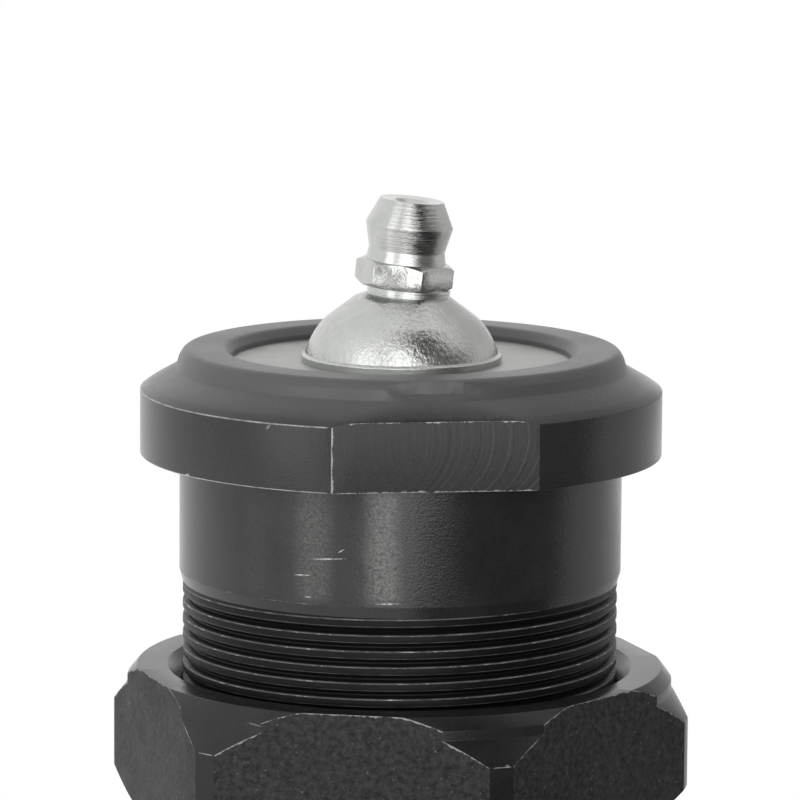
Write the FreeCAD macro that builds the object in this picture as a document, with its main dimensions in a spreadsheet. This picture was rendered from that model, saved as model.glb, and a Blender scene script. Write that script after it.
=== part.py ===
import FreeCAD, Part
import math
import os

import Sketcher

# Greasable upper ball joint with a threaded housing and a clamp nut.
# The origin is on the axis of the housing, on the underside of its flange.
# Heights count up from there, drops count down, and every length is in millimetres.

SIZES = {
    # Housing, outside
    "thread_wall": 3.05,
    "shank_step": 0.25,
    "flange_width": 2.9,
    "flange_height": 4.75,
    "flange_break": 0.12,
    "crease_step": 0.65,
    "crease_height": 5.2,
    "cone_step": 0.25,
    "cone_top_height": 6.3,
    "shoulder_step": 0.4,
    "shoulder_height": 7.1,
    "rim_wall": 1.5,
    "rim_width": 2.85,
    "crest_height": 7.75,
    "crest_round": 0.7,
    "flat_ledge": 1.4,
    "shank_length": 8.6,
    "runout_length": 0.8,
    "thread_bevel": 0.7,
    # Housing, boot seat
    "boot_seat_step": 1.8,
    "boot_groove_depth": 1.65,
    "boot_seat_length": 1.0,
    "boot_groove_width": 2.0,
    "boot_lip_step": 0.7,
    "boot_lip_height": 0.5,
    # Housing, inside
    "ledge_below": 6.5,
    "throat_length": 3.0,
    "throat_step": 0.6,
    "mouth_flare": 1.1,
    "cover_seat_height": 5.5,
    "cover_ledge": 1.45,
    "lip_slope": 0.65,
    "lip_edge": 0.35,
    # Cover plate, dome and seal
    "cover_thickness": 1.3,
    "cover_hole_dia": 9.1,
    "seal_wire_dia": 0.9,
    "seal_margin": 0.7,
    "dome_base_dia": 14.6,
    "dome_rim_dia": 14.85,
    "dome_rim_height": 0.45,
    "dome_foot_dia": 14.2,
    "dome_foot_height": 0.6,
    "dome_waist_dia": 11.2,
    "dome_waist_height": 3.15,
    "dome_round": 6.0,
    "dome_top_dia": 7.0,
    "dome_top_height": 4.75,
    "dome_crown_dia": 5.3,
    "dome_crown_height": 5.05,
    "rivet_dia": 10.6,
    "rivet_depth": 0.7,
    "grease_hole_dia": 2.6,
    "spot_dia": 6.3,
    "spot_depth": 0.3,
    # Grease nipple
    "nipple_lean": 5.6,
    "nipple_heading": -8.0,
    "nipple_root_dia": 4.7,
    "nipple_root_depth": 3.6,
    "collar_dia": 6.1,
    "collar_offset": 0.45,
    "collar_height": 0.73,
    "hex_bevel": 0.35,
    "nipple_hex": 6.35,
    "nipple_hex_turn": -17.3,
    "nipple_hex_height": 1.9,
    "neck_foot_dia": 5.9,
    "neck_dia": 5.6,
    "neck_height": 0.85,
    "head_dia": 6.45,
    "head_rise": 1.83,
    "head_top_dia": 4.7,
    "head_top_rise": 1.88,
    "inlet_dia": 1.6,
    "inlet_depth": 0.9,
    "chamber_dia": 2.6,
    "outlet_dia": 1.5,
    "spring_ledge": 1.1,
    "check_ball_dia": 2.4,
    "check_wire_dia": 0.32,
    "check_coil_dia": 1.9,
    "check_turns": 3.0,
    # Bearing stack
    "ball_dia": 22.0,
    "ball_drop": 21.5,
    "ball_flat_depth": 0.7,
    "seat_wall": 1.9,
    "seat_side_gap": 0.05,
    "seat_split": 0.3,
    "seat_crown": 2.45,
    "seat_hole_dia": 4.0,
    "seat_contact_drop": 5.0,
    "pressure_plate_thickness": 2.0,
    "pressure_boss_height": 1.2,
    "pressure_boss_dia": 13.8,
    "pressure_hole_dia": 5.0,
    "pressure_side_gap": 0.1,
    "preload_wire_side": 1.6,
    "preload_side_gap": 0.6,
    "preload_turns": 3.0,
    # Stud
    "neck_stud_dia": 12.0,
    "stud_reach": 12.5,
    "stud_shoulder_height": 1.5,
    "taper_big_dia": 15.0,
    "taper_length": 18.0,
    "taper_small_dia": 12.75,
    "relief_dia": 10.4,
    "relief_length": 1.5,
    "stud_thread_dia": 11.9,
    "stud_thread_length": 17.0,
    "stud_bevel": 1.0,
    "pin_hole_dia": 3.2,
    # Castle nut and cotter pin
    "castle_hex": 19.0,
    "castle_gap": 1.6,
    "castle_hex_height": 8.6,
    "castle_height": 13.6,
    "castle_crown_dia": 16.8,
    "castle_slot_width": 3.2,
    "castle_slot_depth": 5.0,
    "castle_bevel": 0.8,
    "castle_turn": 90.0,
    "pin_rise": 2.2,
    "pin_wire_dia": 2.8,
    "pin_start": 11.2,
    "pin_bend_at": 9.6,
    "pin_bend_radius": 1.6,
    "pin_leg_length": 4.5,
    "pin_eye_dia": 4.4,
    "pin_eye_wire_dia": 1.4,
    # Boot and its rings
    "boot_wall": 1.5,
    "boot_bead_wall": 1.3,
    "boot_belly_step": 1.0,
    "boot_belly_gap": 0.6,
    "boot_web_width": 1.4,
    "boot_foot_gap": 0.3,
    "boot_foot_height": 4.0,
    "boot_foot_dia": 17.0,
    "boot_ring_wire_dia": 1.0,
    "boot_ring_rise": 1.6,
    "boot_foot_groove": 0.5,
    # Clamp nut
    "nut_wall": 3.0,
    "nut_turn": -18.2,
    "nut_top_drop": 15.85,
    "nut_height": 10.5,
    "nut_face_step": 0.35,
    "nut_shoulder_step": 1.1,
    "nut_step_top": 0.9,
    "nut_step_foot": 1.6,
    "nut_corner_step": 2.45,
    "nut_bevel_foot": 3.4,
    "nut_low_bevel": 2.0,
    "nut_low_edge": 0.6,
    "nut_low_step": 1.15,
    "nut_mouth_step": 1.15,
    # Clearances
    "running_gap": 0.05,
    "fit_gap": 0.02,
}

os.makedirs("parts", exist_ok=True)
doc = FreeCAD.newDocument("BallJoint")
sheet = doc.addObject("Spreadsheet::Sheet", "Sizes")
for row, (name, value) in enumerate(SIZES.items(), start=1):
    sheet.set("A%d" % row, name)
    sheet.set("B%d" % row, str(value))
    sheet.setAlias("B%d" % row, name)
doc.recompute()


class Size:
    """A length that carries its number and the sheet formula behind it."""

    def __init__(self, value, formula):
        self.value = float(value)
        self.formula = formula

    def combine(self, other, sign, value):
        return Size(value, "(%s %s %s)" % (self.formula, sign, other.formula))

    def __add__(self, other):
        other = as_size(other)
        return self.combine(other, "+", self.value + other.value)

    def __sub__(self, other):
        other = as_size(other)
        return self.combine(other, "-", self.value - other.value)

    def __mul__(self, other):
        other = as_size(other)
        return self.combine(other, "*", self.value * other.value)

    def __truediv__(self, other):
        other = as_size(other)
        return self.combine(other, "/", self.value / other.value)

    def __neg__(self):
        return Size(-self.value, "(-1 * %s)" % self.formula)


def as_size(value):
    return value if isinstance(value, Size) else Size(value, repr(float(value)))


def root(size):
    return Size(math.sqrt(size.value), "sqrt(%s)" % size.formula)


class Named:
    """Reads a driving dimension from the sheet by its alias."""

    def __getattr__(self, alias):
        return Size(sheet.get(alias), "Sizes." + alias)


dim = Named()
AXIS = 0


def half(size):
    return size / 2


def bind(thing, path, size):
    thing.setExpression(path, size.formula)


class Piece:
    """One sub-part: a body whose sketches and features follow the sheet."""

    def __init__(self, label):
        self.body = doc.addObject("PartDesign::Body", label)
        self.body.Label = label

    def sketch(self, role, offset=None, turn=None):
        plane = next(p for p in self.body.Origin.OriginFeatures if p.Role == role)
        sketch = self.body.newObject("Sketcher::SketchObject", self.body.Label + "_sketch")
        sketch.AttachmentSupport = [(plane, "")]
        sketch.MapMode = "FlatFace"
        if offset is not None:
            bind(sketch, "AttachmentOffset.Base.z", offset)
        if turn is not None:
            bind(sketch, "AttachmentOffset.Rotation.Angle", turn)
        return sketch

    def feature(self, kind, sketch):
        made = self.body.newObject("PartDesign::" + kind, self.body.Label + "_" + kind.lower())
        made.Profile = sketch
        return made

    def turned(self, corners, kind="Revolution"):
        """Turn an outline of (radius, height) corners about the upright axis."""
        sketch = self.sketch("XZ_Plane")
        draw_loop(sketch, corners)
        made = self.feature(kind, sketch)
        made.ReferenceAxis = (sketch, ["V_Axis"])
        made.Angle = 360
        return made

    def groove(self, corners):
        return self.turned(corners, "Groove")

    def pad(self, corners, foot, height, turn=None):
        """Raise an outline drawn at the height called foot."""
        sketch = self.sketch("XY_Plane", foot, turn)
        draw_loop(sketch, corners)
        made = self.feature("Pad", sketch)
        bind(made, "Length", height)
        return made

    def pocket(self, loops, top, depth):
        """Sink outlines drawn at the height called top."""
        sketch = self.sketch("XY_Plane", top)
        for corners in loops:
            draw_loop(sketch, corners)
        made = self.feature("Pocket", sketch)
        bind(made, "Length", depth)
        return made

    def coil(self, sketch, foot, top, turns):
        """Wind a sketched wire up about the upright axis, from one height to another."""
        helix = self.feature("AdditiveHelix", sketch)
        helix.ReferenceAxis = (sketch, ["V_Axis"])
        helix.Mode = "height-turns-angle"
        helix.Angle = 0
        bind(helix, "Height", top - foot)
        bind(helix, "Turns", turns)
        return helix

    def grind(self, reach, foot, top, depth):
        """Grind both ends of a coil flat at the heights foot and top."""
        for level, beyond in ((foot, foot - depth), (top, top + depth)):
            self.groove([(AXIS, level), (reach, level), (reach, beyond), (AXIS, beyond)])

    def disc(self, across, radius, foot, height):
        """Raise a disc that stands off the upright axis."""
        sketch = self.sketch("XY_Plane", foot)
        draw_circle(sketch, across, AXIS, radius)
        made = self.feature("Pad", sketch)
        bind(made, "Length", height)
        return made

    def bored(self, radius, foot, height, aside=None):
        """Drill a hole along the leaning axis of the nipple, or beside it."""
        hole = self.body.newObject("PartDesign::SubtractiveCylinder", self.body.Label + "_bore")
        bind(hole, "Radius", radius)
        bind(hole, "Height", height)
        lean(hole, foot, aside)
        return hole


def draw_loop(sketch, corners):
    """Draw a closed outline and pin every corner to its sizes.

    A corner is (across, up), or (across, up, radius) where an arc arrives at it. The arc's
    centre is on the left of its way when the radius is positive, and else on the right.
    """
    ends = [FreeCAD.Vector(as_size(c[0]).value, as_size(c[1]).value, 0) for c in corners]
    first = None
    last = None
    for start, end, corner in zip(ends[-1:] + ends[:-1], ends, corners):
        if len(corner) == 3:
            edge, begins, stops = draw_arc(sketch, start, end, corner[2])
        else:
            edge = sketch.addGeometry(Part.LineSegment(start, end), False)
            begins, stops = 1, 2
        pin_point(sketch, edge, stops, corner[0], corner[1])
        if last is None:
            first = (edge, begins)
        else:
            sketch.addConstraint(Sketcher.Constraint("Coincident", *last, edge, begins))
        last = (edge, stops)
    sketch.addConstraint(Sketcher.Constraint("Coincident", *last, *first))


def draw_arc(sketch, start, end, radius):
    size = abs(radius.value)
    side = math.copysign(1.0, radius.value)
    chord = end - start
    rise = math.sqrt(max(size ** 2 - (chord.Length / 2) ** 2, 0.0))
    left = FreeCAD.Vector(-chord.y, chord.x, 0).normalize()
    centre = (start + end) / 2 + left * (rise * side)
    angles = [math.atan2(p.y - centre.y, p.x - centre.x) for p in (start, end)]
    if side < 0:
        angles.reverse()
    circle = Part.Circle(centre, FreeCAD.Vector(0, 0, 1), size)
    edge = sketch.addGeometry(Part.ArcOfCircle(circle, *angles), False)
    rule = sketch.addConstraint(Sketcher.Constraint("Radius", edge, size))
    sketch.setExpression("Constraints[%d]" % rule, "abs(%s)" % radius.formula)
    return (edge, 1, 2) if side > 0 else (edge, 2, 1)


def draw_circle(sketch, across, up, radius):
    centre = FreeCAD.Vector(as_size(across).value, as_size(up).value, 0)
    circle = Part.Circle(centre, FreeCAD.Vector(0, 0, 1), radius.value)
    edge = sketch.addGeometry(circle, False)
    pin_point(sketch, edge, 3, across, up)
    rule = sketch.addConstraint(Sketcher.Constraint("Radius", edge, radius.value))
    sketch.setExpression("Constraints[%d]" % rule, radius.formula)


def pin_point(sketch, edge, point, across, up):
    """Tie a sketch point to its distances from the origin, or to an axis where one is zero."""
    for kind, axis, size in (("DistanceX", -2, across), ("DistanceY", -1, up)):
        if isinstance(size, Size):
            rule = sketch.addConstraint(Sketcher.Constraint(kind, -1, 1, edge, point, size.value))
            sketch.setExpression("Constraints[%d]" % rule, size.formula)
        else:
            sketch.addConstraint(Sketcher.Constraint("PointOnObject", edge, point, axis))


def hexagon(across_flats):
    """Corners of a hexagon with one flat facing the front."""
    flat = half(across_flats)
    corner = across_flats / root(as_size(3))
    return [
        (corner, AXIS), (half(corner), flat), (-half(corner), flat),
        (-corner, AXIS), (-half(corner), -flat), (half(corner), -flat),
    ]


def lean(thing, foot, aside=None):
    """Stand a thing on the leaning axis of the nipple, its own origin at the height foot."""
    slope = "sin(Sizes.nipple_lean)"
    heading = "(Sizes.nipple_heading)"
    shift = (aside or as_size(0)).formula
    thing.setExpression("Placement.Rotation.Axis.x", "-sin%s" % heading)
    thing.setExpression("Placement.Rotation.Axis.y", "cos%s" % heading)
    thing.setExpression("Placement.Rotation.Axis.z", "0")
    thing.setExpression("Placement.Rotation.Angle", "Sizes.nipple_lean")
    reach = "(%s * %s + %s * cos(Sizes.nipple_lean))" % (foot.formula, slope, shift)
    thing.setExpression("Placement.Base.x", "%s * cos%s" % (reach, heading))
    thing.setExpression("Placement.Base.y", "%s * sin%s" % (reach, heading))
    rise = "%s * cos(Sizes.nipple_lean) - %s * %s" % (foot.formula, shift, slope)
    thing.setExpression("Placement.Base.z", "%s + %s" % (nipple_seat.formula, rise))


def round_circles(piece, radius, circles):
    """Round the turned edges that lie at the given (radius, height) places."""
    doc.recompute()
    base = piece.body.Tip
    names = []
    for number, edge in enumerate(base.Shape.Edges, start=1):
        if not isinstance(edge.Curve, Part.Circle):
            continue
        for across, up in circles:
            near_across = math.isclose(edge.Curve.Radius, across.value, abs_tol=1e-4)
            near_up = math.isclose(edge.Curve.Center.z, up.value, abs_tol=1e-4)
            if near_across and near_up:
                names.append("Edge%d" % number)
    fillet = piece.body.newObject("PartDesign::Fillet", piece.body.Label + "_round")
    fillet.Base = (base, names)
    bind(fillet, "Radius", radius)
    return fillet


# Heights and radii that several pieces share

ball_centre = -dim.ball_drop
ledge = ball_centre - dim.ledge_below
housing_foot = ledge - dim.throat_length
cover_foot = dim.cover_seat_height
cover_top = cover_foot + dim.cover_thickness
crown_top = cover_top + dim.dome_crown_height
nipple_seat = crown_top - dim.spot_depth
ball_radius = half(dim.ball_dia)
seat_radius = ball_radius + dim.running_gap
seat_side = seat_radius + dim.seat_wall
seat_top = ball_centre + seat_radius + dim.seat_crown
plate_top = seat_top + dim.pressure_plate_thickness
bore_radius = seat_side + dim.seat_side_gap
throat_radius = ball_radius - dim.throat_step
thread_radius = bore_radius + dim.thread_wall
shank_radius = thread_radius + dim.shank_step
flange_radius = shank_radius + dim.flange_width
cover_bore_radius = bore_radius + dim.cover_ledge
crest_outer_radius = cover_bore_radius + dim.rim_wall
crest_inner_radius = crest_outer_radius - dim.rim_width
seal_radius = bore_radius + dim.seal_margin
stud_neck = half(dim.neck_stud_dia)
nut_top = -dim.nut_top_drop
nut_foot = nut_top - dim.nut_height
boot_groove_foot = housing_foot + dim.boot_lip_height
boot_groove_top = boot_groove_foot + dim.boot_groove_width
boot_seat_radius = thread_radius - dim.boot_seat_step
boot_groove_radius = boot_seat_radius - dim.boot_groove_depth
ring_wire = half(dim.boot_ring_wire_dia)
stud_shoulder = housing_foot - dim.stud_reach
taper_top = stud_shoulder - dim.stud_shoulder_height
taper_foot = taper_top - dim.taper_length
castle_top = taper_foot - dim.castle_gap
castle_foot = castle_top - dim.castle_height
pin_level = castle_foot + dim.pin_rise
origin_height = as_size(0)


def housing():
    piece = Piece("housing")
    thread_foot = boot_groove_top + dim.boot_seat_length
    boot_lip = boot_groove_radius + dim.boot_lip_step
    crest = dim.crest_height
    shoulder = crest_outer_radius + dim.shoulder_step
    lip = crest_inner_radius - dim.lip_slope
    piece.turned([
        (throat_radius + dim.mouth_flare, housing_foot),
        (boot_lip, housing_foot),
        (boot_lip, boot_groove_foot),
        (boot_groove_radius, boot_groove_foot),
        (boot_groove_radius, boot_groove_top),
        (boot_seat_radius, boot_groove_top),
        (boot_seat_radius, thread_foot),
        (thread_radius - dim.thread_bevel, thread_foot),
        (thread_radius, thread_foot + dim.thread_bevel),
        (thread_radius, -dim.shank_length - dim.runout_length),
        (shank_radius, -dim.shank_length),
        (shank_radius, origin_height),
        (flange_radius - dim.flange_break, origin_height),
        (flange_radius, dim.flange_break),
        (flange_radius, dim.flange_height),
        (flange_radius - dim.crease_step, dim.crease_height),
        (shoulder + dim.cone_step, dim.cone_top_height),
        (shoulder, dim.shoulder_height),
        (crest_outer_radius, crest),
        (crest_inner_radius, crest),
        (lip, cover_top + dim.lip_edge),
        (lip, cover_top),
        (cover_bore_radius, cover_top),
        (cover_bore_radius, cover_foot),
        (bore_radius, cover_foot),
        (bore_radius, ledge),
        (throat_radius, ledge),
    ])
    seal_inner = seal_radius - half(dim.seal_wire_dia)
    seal_outer = seal_radius + half(dim.seal_wire_dia)
    piece.groove([
        (seal_inner, cover_foot - dim.seal_wire_dia),
        (seal_outer, cover_foot - dim.seal_wire_dia),
        (seal_outer, cover_foot + dim.fit_gap),
        (seal_inner, cover_foot + dim.fit_gap),
    ])
    flat = shank_radius + dim.flat_ledge
    reach = flange_radius
    sides = []
    for near, far in ((flat, reach), (-reach, -flat)):
        sides.append([(-reach, near), (reach, near), (reach, far), (-reach, far)])
    piece.pocket(sides, crest, crest)
    rim = [(crest_outer_radius, crest), (crest_inner_radius, crest)]
    round_circles(piece, dim.crest_round, rim)


def cover_plate():
    piece = Piece("cover_plate")
    hole = half(dim.cover_hole_dia)
    outer = cover_bore_radius - dim.running_gap
    piece.turned([(hole, cover_foot), (outer, cover_foot), (outer, cover_top), (hole, cover_top)])


def cover_seal():
    wire = half(dim.seal_wire_dia)
    make_ring("cover_seal_ring", seal_radius, wire - dim.fit_gap, cover_foot - wire)


def make_ring(label, ring_radius, wire_radius, height):
    ring = doc.addObject("Part::Torus", label)
    ring.Label = label
    bind(ring, "Radius1", ring_radius)
    bind(ring, "Radius2", wire_radius)
    bind(ring, "Placement.Base.z", height)


def nipple_dome():
    piece = Piece("nipple_dome")
    spigot = half(dim.cover_hole_dia) - dim.fit_gap
    piece.turned([
        (AXIS, cover_foot - dim.rivet_depth),
        (half(dim.rivet_dia), cover_foot - dim.rivet_depth),
        (half(dim.rivet_dia), cover_foot),
        (spigot, cover_foot),
        (spigot, cover_top),
        (half(dim.dome_base_dia), cover_top),
        (half(dim.dome_rim_dia), cover_top + dim.dome_rim_height),
        (half(dim.dome_foot_dia), cover_top + dim.dome_foot_height),
        (half(dim.dome_waist_dia), cover_top + dim.dome_waist_height, dim.dome_round),
        (half(dim.dome_top_dia), cover_top + dim.dome_top_height),
        (half(dim.dome_crown_dia), crown_top),
        (AXIS, crown_top),
    ])
    piece.bored(half(dim.spot_dia), origin_height, dim.nipple_root_depth, dim.collar_offset)
    piece.bored(half(dim.nipple_root_dia) + dim.fit_gap, -dim.nipple_root_depth, dim.nipple_root_depth)
    drop = dim.dome_crown_height + dim.cover_thickness + dim.rivet_depth + dim.spot_depth
    piece.bored(half(dim.grease_hole_dia), -drop, drop)


def grease_nipple():
    piece = Piece("grease_nipple")
    hex_foot = dim.collar_height
    hex_top = hex_foot + dim.nipple_hex_height
    head_foot = hex_top + dim.neck_height
    widest = head_foot + dim.head_rise
    head_top = widest + dim.head_top_rise
    chamber_top = head_top - dim.inlet_depth
    piece.turned([
        (AXIS, -dim.nipple_root_depth),
        (half(dim.nipple_root_dia), -dim.nipple_root_depth),
        (half(dim.nipple_root_dia), hex_foot),
        (half(dim.neck_foot_dia), hex_top),
        (half(dim.neck_dia), head_foot),
        (half(dim.head_dia), widest),
        (half(dim.head_top_dia), head_top),
        (AXIS, head_top),
    ])
    piece.disc(dim.collar_offset, half(dim.collar_dia), origin_height, hex_foot)
    piece.pad(hexagon(dim.nipple_hex), hex_foot, dim.nipple_hex_height, dim.nipple_hex_turn)
    bevel_hexagon(piece, dim.nipple_hex, hex_foot, dim.hex_bevel)
    bevel_hexagon(piece, dim.nipple_hex, hex_top, -dim.hex_bevel)
    outlet = half(dim.outlet_dia)
    chamber = half(dim.chamber_dia)
    inlet = half(dim.inlet_dia)
    piece.groove([
        (AXIS, -dim.nipple_root_depth),
        (outlet, -dim.nipple_root_depth),
        (outlet, dim.spring_ledge),
        (chamber, dim.spring_ledge),
        (chamber, chamber_top),
        (inlet, chamber_top),
        (inlet, head_top),
        (AXIS, head_top),
    ])
    lean(piece.body, origin_height)
    return chamber_top


def bevel_hexagon(piece, across_flats, level, bevel):
    """Cone off the corners of a hexagon by the height called bevel, inward from one end."""
    flat = half(across_flats)
    corner = across_flats / root(as_size(3))
    reach = corner * 2 - flat
    piece.groove([(flat, level), (reach, level), (reach, level + bevel * 2)])


def check_valve(chamber_top):
    radius = half(dim.check_ball_dia)
    inlet = half(dim.inlet_dia)
    centre = chamber_top - root(radius * radius - inlet * inlet) - dim.fit_gap
    ball = doc.addObject("Part::Sphere", "nipple_check_ball")
    ball.Label = "nipple_check_ball"
    bind(ball, "Radius", radius)
    lean(ball, centre)
    spring = Piece("nipple_spring")
    coil_radius = half(dim.check_coil_dia)
    wire = half(dim.check_wire_dia)
    touch = coil_radius - wire
    under = centre - root(radius * radius - touch * touch) - dim.fit_gap
    section = spring.sketch("XZ_Plane")
    draw_circle(section, coil_radius, dim.spring_ledge + half(wire), wire)
    spring.coil(section, dim.spring_ledge + half(wire), under - half(wire), dim.check_turns)
    spring.grind(coil_radius + wire * 2, dim.spring_ledge, under, wire)
    lean(spring.body, origin_height)


def on_ball(distance):
    """Radius of the bearing sphere at a distance from its middle, or the other way round."""
    return root(seat_radius * seat_radius - distance * distance)


def upper_bearing_seat():
    piece = Piece("upper_bearing_seat")
    hole = half(dim.seat_hole_dia)
    split = ball_centre + half(dim.seat_split)
    piece.turned([
        (on_ball(half(dim.seat_split)), split, -seat_radius),
        (seat_side, split),
        (seat_side, seat_top),
        (hole, seat_top),
        (hole, ball_centre + on_ball(hole)),
    ])


def lower_bearing_seat():
    piece = Piece("lower_bearing_seat")
    split = ball_centre - half(dim.seat_split)
    contact = dim.seat_contact_drop
    piece.turned([
        (seat_side, ledge),
        (seat_side, split),
        (on_ball(half(dim.seat_split)), split),
        (on_ball(contact), ball_centre - contact, -seat_radius),
        (throat_radius, ledge),
    ])


def pressure_plate():
    piece = Piece("pressure_plate")
    hole = half(dim.pressure_hole_dia)
    outer = bore_radius - dim.pressure_side_gap
    boss = half(dim.pressure_boss_dia)
    piece.turned([
        (hole, seat_top),
        (outer, seat_top),
        (outer, plate_top),
        (boss, plate_top),
        (boss, plate_top + dim.pressure_boss_height),
        (hole, plate_top + dim.pressure_boss_height),
    ])


def preload_spring():
    piece = Piece("preload_spring")
    side = half(dim.preload_wire_side)
    inner = half(dim.pressure_boss_dia) + dim.preload_side_gap
    outer = inner + dim.preload_wire_side
    section = piece.sketch("XZ_Plane")
    draw_loop(section, [
        (inner, plate_top - side),
        (outer, plate_top - side),
        (outer, plate_top + side),
        (inner, plate_top + side),
    ])
    piece.coil(section, plate_top, cover_foot, dim.preload_turns)
    piece.grind(outer + side, plate_top, cover_foot, dim.preload_wire_side)


def ball_stud():
    piece = Piece("ball_stud")
    flat = ball_radius - dim.ball_flat_depth
    thread_top = taper_foot - dim.relief_length
    thread_foot = thread_top - dim.stud_thread_length
    thread = half(dim.stud_thread_dia)
    relief = half(dim.relief_dia)
    piece.turned([
        (AXIS, thread_foot),
        (thread - dim.stud_bevel, thread_foot),
        (thread, thread_foot + dim.stud_bevel),
        (thread, thread_top),
        (relief, thread_top),
        (relief, taper_foot),
        (half(dim.taper_small_dia), taper_foot),
        (half(dim.taper_big_dia), taper_top),
        (stud_neck, stud_shoulder),
        (stud_neck, ball_centre - root(ball_radius * ball_radius - stud_neck * stud_neck)),
        (root(ball_radius * ball_radius - flat * flat), ball_centre + flat, ball_radius),
        (AXIS, ball_centre + flat),
    ])
    drill = piece.body.newObject("PartDesign::SubtractiveCylinder", "ball_stud_pin_hole")
    across = half(dim.taper_big_dia)
    bind(drill, "Radius", half(dim.pin_hole_dia))
    bind(drill, "Height", across * 2)
    drill.Placement.Rotation = FreeCAD.Rotation(FreeCAD.Vector(0, 1, 0), 90)
    bind(drill, "Placement.Base.x", -across)
    bind(drill, "Placement.Base.z", pin_level)


def castle_nut():
    piece = Piece("castle_nut")
    top = castle_top
    crown_top = top - dim.castle_hex_height
    foot = castle_foot
    bore = half(dim.stud_thread_dia) + dim.running_gap
    crown = half(dim.castle_crown_dia)
    piece.pad(hexagon(dim.castle_hex), crown_top, dim.castle_hex_height, dim.castle_turn)
    bevel_hexagon(piece, dim.castle_hex, top, -dim.castle_bevel)
    bevel_hexagon(piece, dim.castle_hex, crown_top, dim.castle_bevel)
    piece.turned([(bore, foot), (crown, foot), (crown, crown_top), (bore, crown_top)])
    piece.groove([(AXIS, foot), (bore, foot), (bore, top), (AXIS, top)])
    wide = half(dim.castle_slot_width)
    slot_top = foot + dim.castle_slot_depth
    slot = [[(-crown, -wide), (crown, -wide), (crown, wide), (-crown, wide)]]
    cut = piece.pocket(slot, slot_top, dim.castle_slot_depth)
    pattern = piece.body.newObject("PartDesign::PolarPattern", "castle_nut_slots")
    pattern.Originals = [cut]
    axis = next(a for a in piece.body.Origin.OriginFeatures if a.Role == "Z_Axis")
    pattern.Axis = (axis, [""])
    pattern.Angle = 360
    pattern.Occurrences = 6
    piece.body.Tip = pattern


def cotter_pin():
    piece = Piece("cotter_pin")
    level = pin_level
    radius = half(dim.pin_wire_dia)
    bend = dim.pin_bend_radius
    for side in (1, -1):
        path = piece.sketch("XZ_Plane")
        draw_leg(path, level, bend, side)
        end = piece.sketch("YZ_Plane", -dim.pin_start)
        draw_half_disc(end, level, radius, side)
        leg = piece.feature("AdditivePipe", end)
        leg.Spine = (path, ["Edge1", "Edge2", "Edge3"])
    eye = piece.body.newObject("PartDesign::AdditiveTorus", "cotter_pin_eye")
    bind(eye, "Radius1", half(dim.pin_eye_dia))
    bind(eye, "Radius2", half(dim.pin_eye_wire_dia))
    eye.Placement.Rotation = FreeCAD.Rotation(FreeCAD.Vector(1, 0, 0), 90)
    bind(eye, "Placement.Base.x", -dim.pin_start - half(dim.pin_eye_dia))
    bind(eye, "Placement.Base.z", level)


def draw_leg(sketch, level, bend, side):
    """Draw a leg's route: along the pin, round the bend and out along the nut."""
    turn = bend * side
    start = FreeCAD.Vector(-dim.pin_start.value, level.value, 0)
    bend_at = FreeCAD.Vector(dim.pin_bend_at.value, level.value, 0)
    risen = bend_at + FreeCAD.Vector(bend.value, turn.value, 0)
    straight = sketch.addGeometry(Part.LineSegment(start, bend_at), False)
    arc, begins, stops = draw_arc(sketch, bend_at, risen, turn)
    reach = turn + dim.pin_leg_length * side
    tip = FreeCAD.Vector(risen.x, (level + reach).value, 0)
    rise = sketch.addGeometry(Part.LineSegment(risen, tip), False)
    for edge, point, across, up in (
        (straight, 1, -dim.pin_start, level),
        (straight, 2, dim.pin_bend_at, level),
        (arc, stops, dim.pin_bend_at + bend, level + turn),
        (rise, 2, dim.pin_bend_at + bend, level + reach),
    ):
        pin_point(sketch, edge, point, across, up)
    sketch.addConstraint(Sketcher.Constraint("Coincident", straight, 2, arc, begins))
    sketch.addConstraint(Sketcher.Constraint("Coincident", arc, stops, rise, 1))


def draw_half_disc(sketch, level, radius, side):
    bulge = radius * side
    draw_loop(sketch, [(radius, level), (AXIS, level + bulge, bulge), (-radius, level, bulge)])


def boot():
    piece = Piece("dust_boot")
    bead = boot_groove_radius + dim.boot_bead_wall
    belly = bead + dim.boot_belly_step
    inner_belly = belly - dim.boot_wall
    foot_outer = half(dim.boot_foot_dia)
    foot_inner = stud_neck + dim.fit_gap
    foot_end = stud_shoulder + dim.boot_foot_gap
    ring_height = foot_end + dim.boot_ring_rise
    web_under = foot_end + dim.boot_foot_height
    web_over = web_under + dim.boot_wall
    turn_radius = belly - foot_outer - dim.boot_web_width
    turn_top = web_under + turn_radius
    inner_turn = turn_radius - dim.boot_wall
    piece.turned([
        (boot_groove_radius + dim.fit_gap, boot_groove_top - dim.fit_gap),
        (boot_groove_radius + dim.fit_gap, boot_groove_foot + dim.fit_gap),
        (inner_belly, boot_groove_foot + dim.fit_gap),
        (inner_belly, turn_top),
        (inner_belly - inner_turn, web_over, -inner_turn),
        (foot_inner, web_over),
        (foot_inner, foot_end),
        (foot_outer, foot_end),
        (foot_outer, ring_height - ring_wire),
        (foot_outer - dim.boot_foot_groove, ring_height - ring_wire),
        (foot_outer - dim.boot_foot_groove, ring_height + ring_wire),
        (foot_outer, ring_height + ring_wire),
        (foot_outer, web_under),
        (belly - turn_radius, web_under),
        (belly, turn_top, turn_radius),
        (belly, housing_foot - dim.boot_belly_gap),
        (bead, boot_groove_foot),
        (bead, boot_groove_top - dim.fit_gap),
    ])
    make_ring("boot_upper_ring", bead + ring_wire, ring_wire - dim.fit_gap,
              (boot_groove_top + boot_groove_foot) / 2)
    make_ring("boot_lower_ring", foot_outer - dim.boot_foot_groove + ring_wire,
              ring_wire - dim.fit_gap, ring_height)


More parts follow.
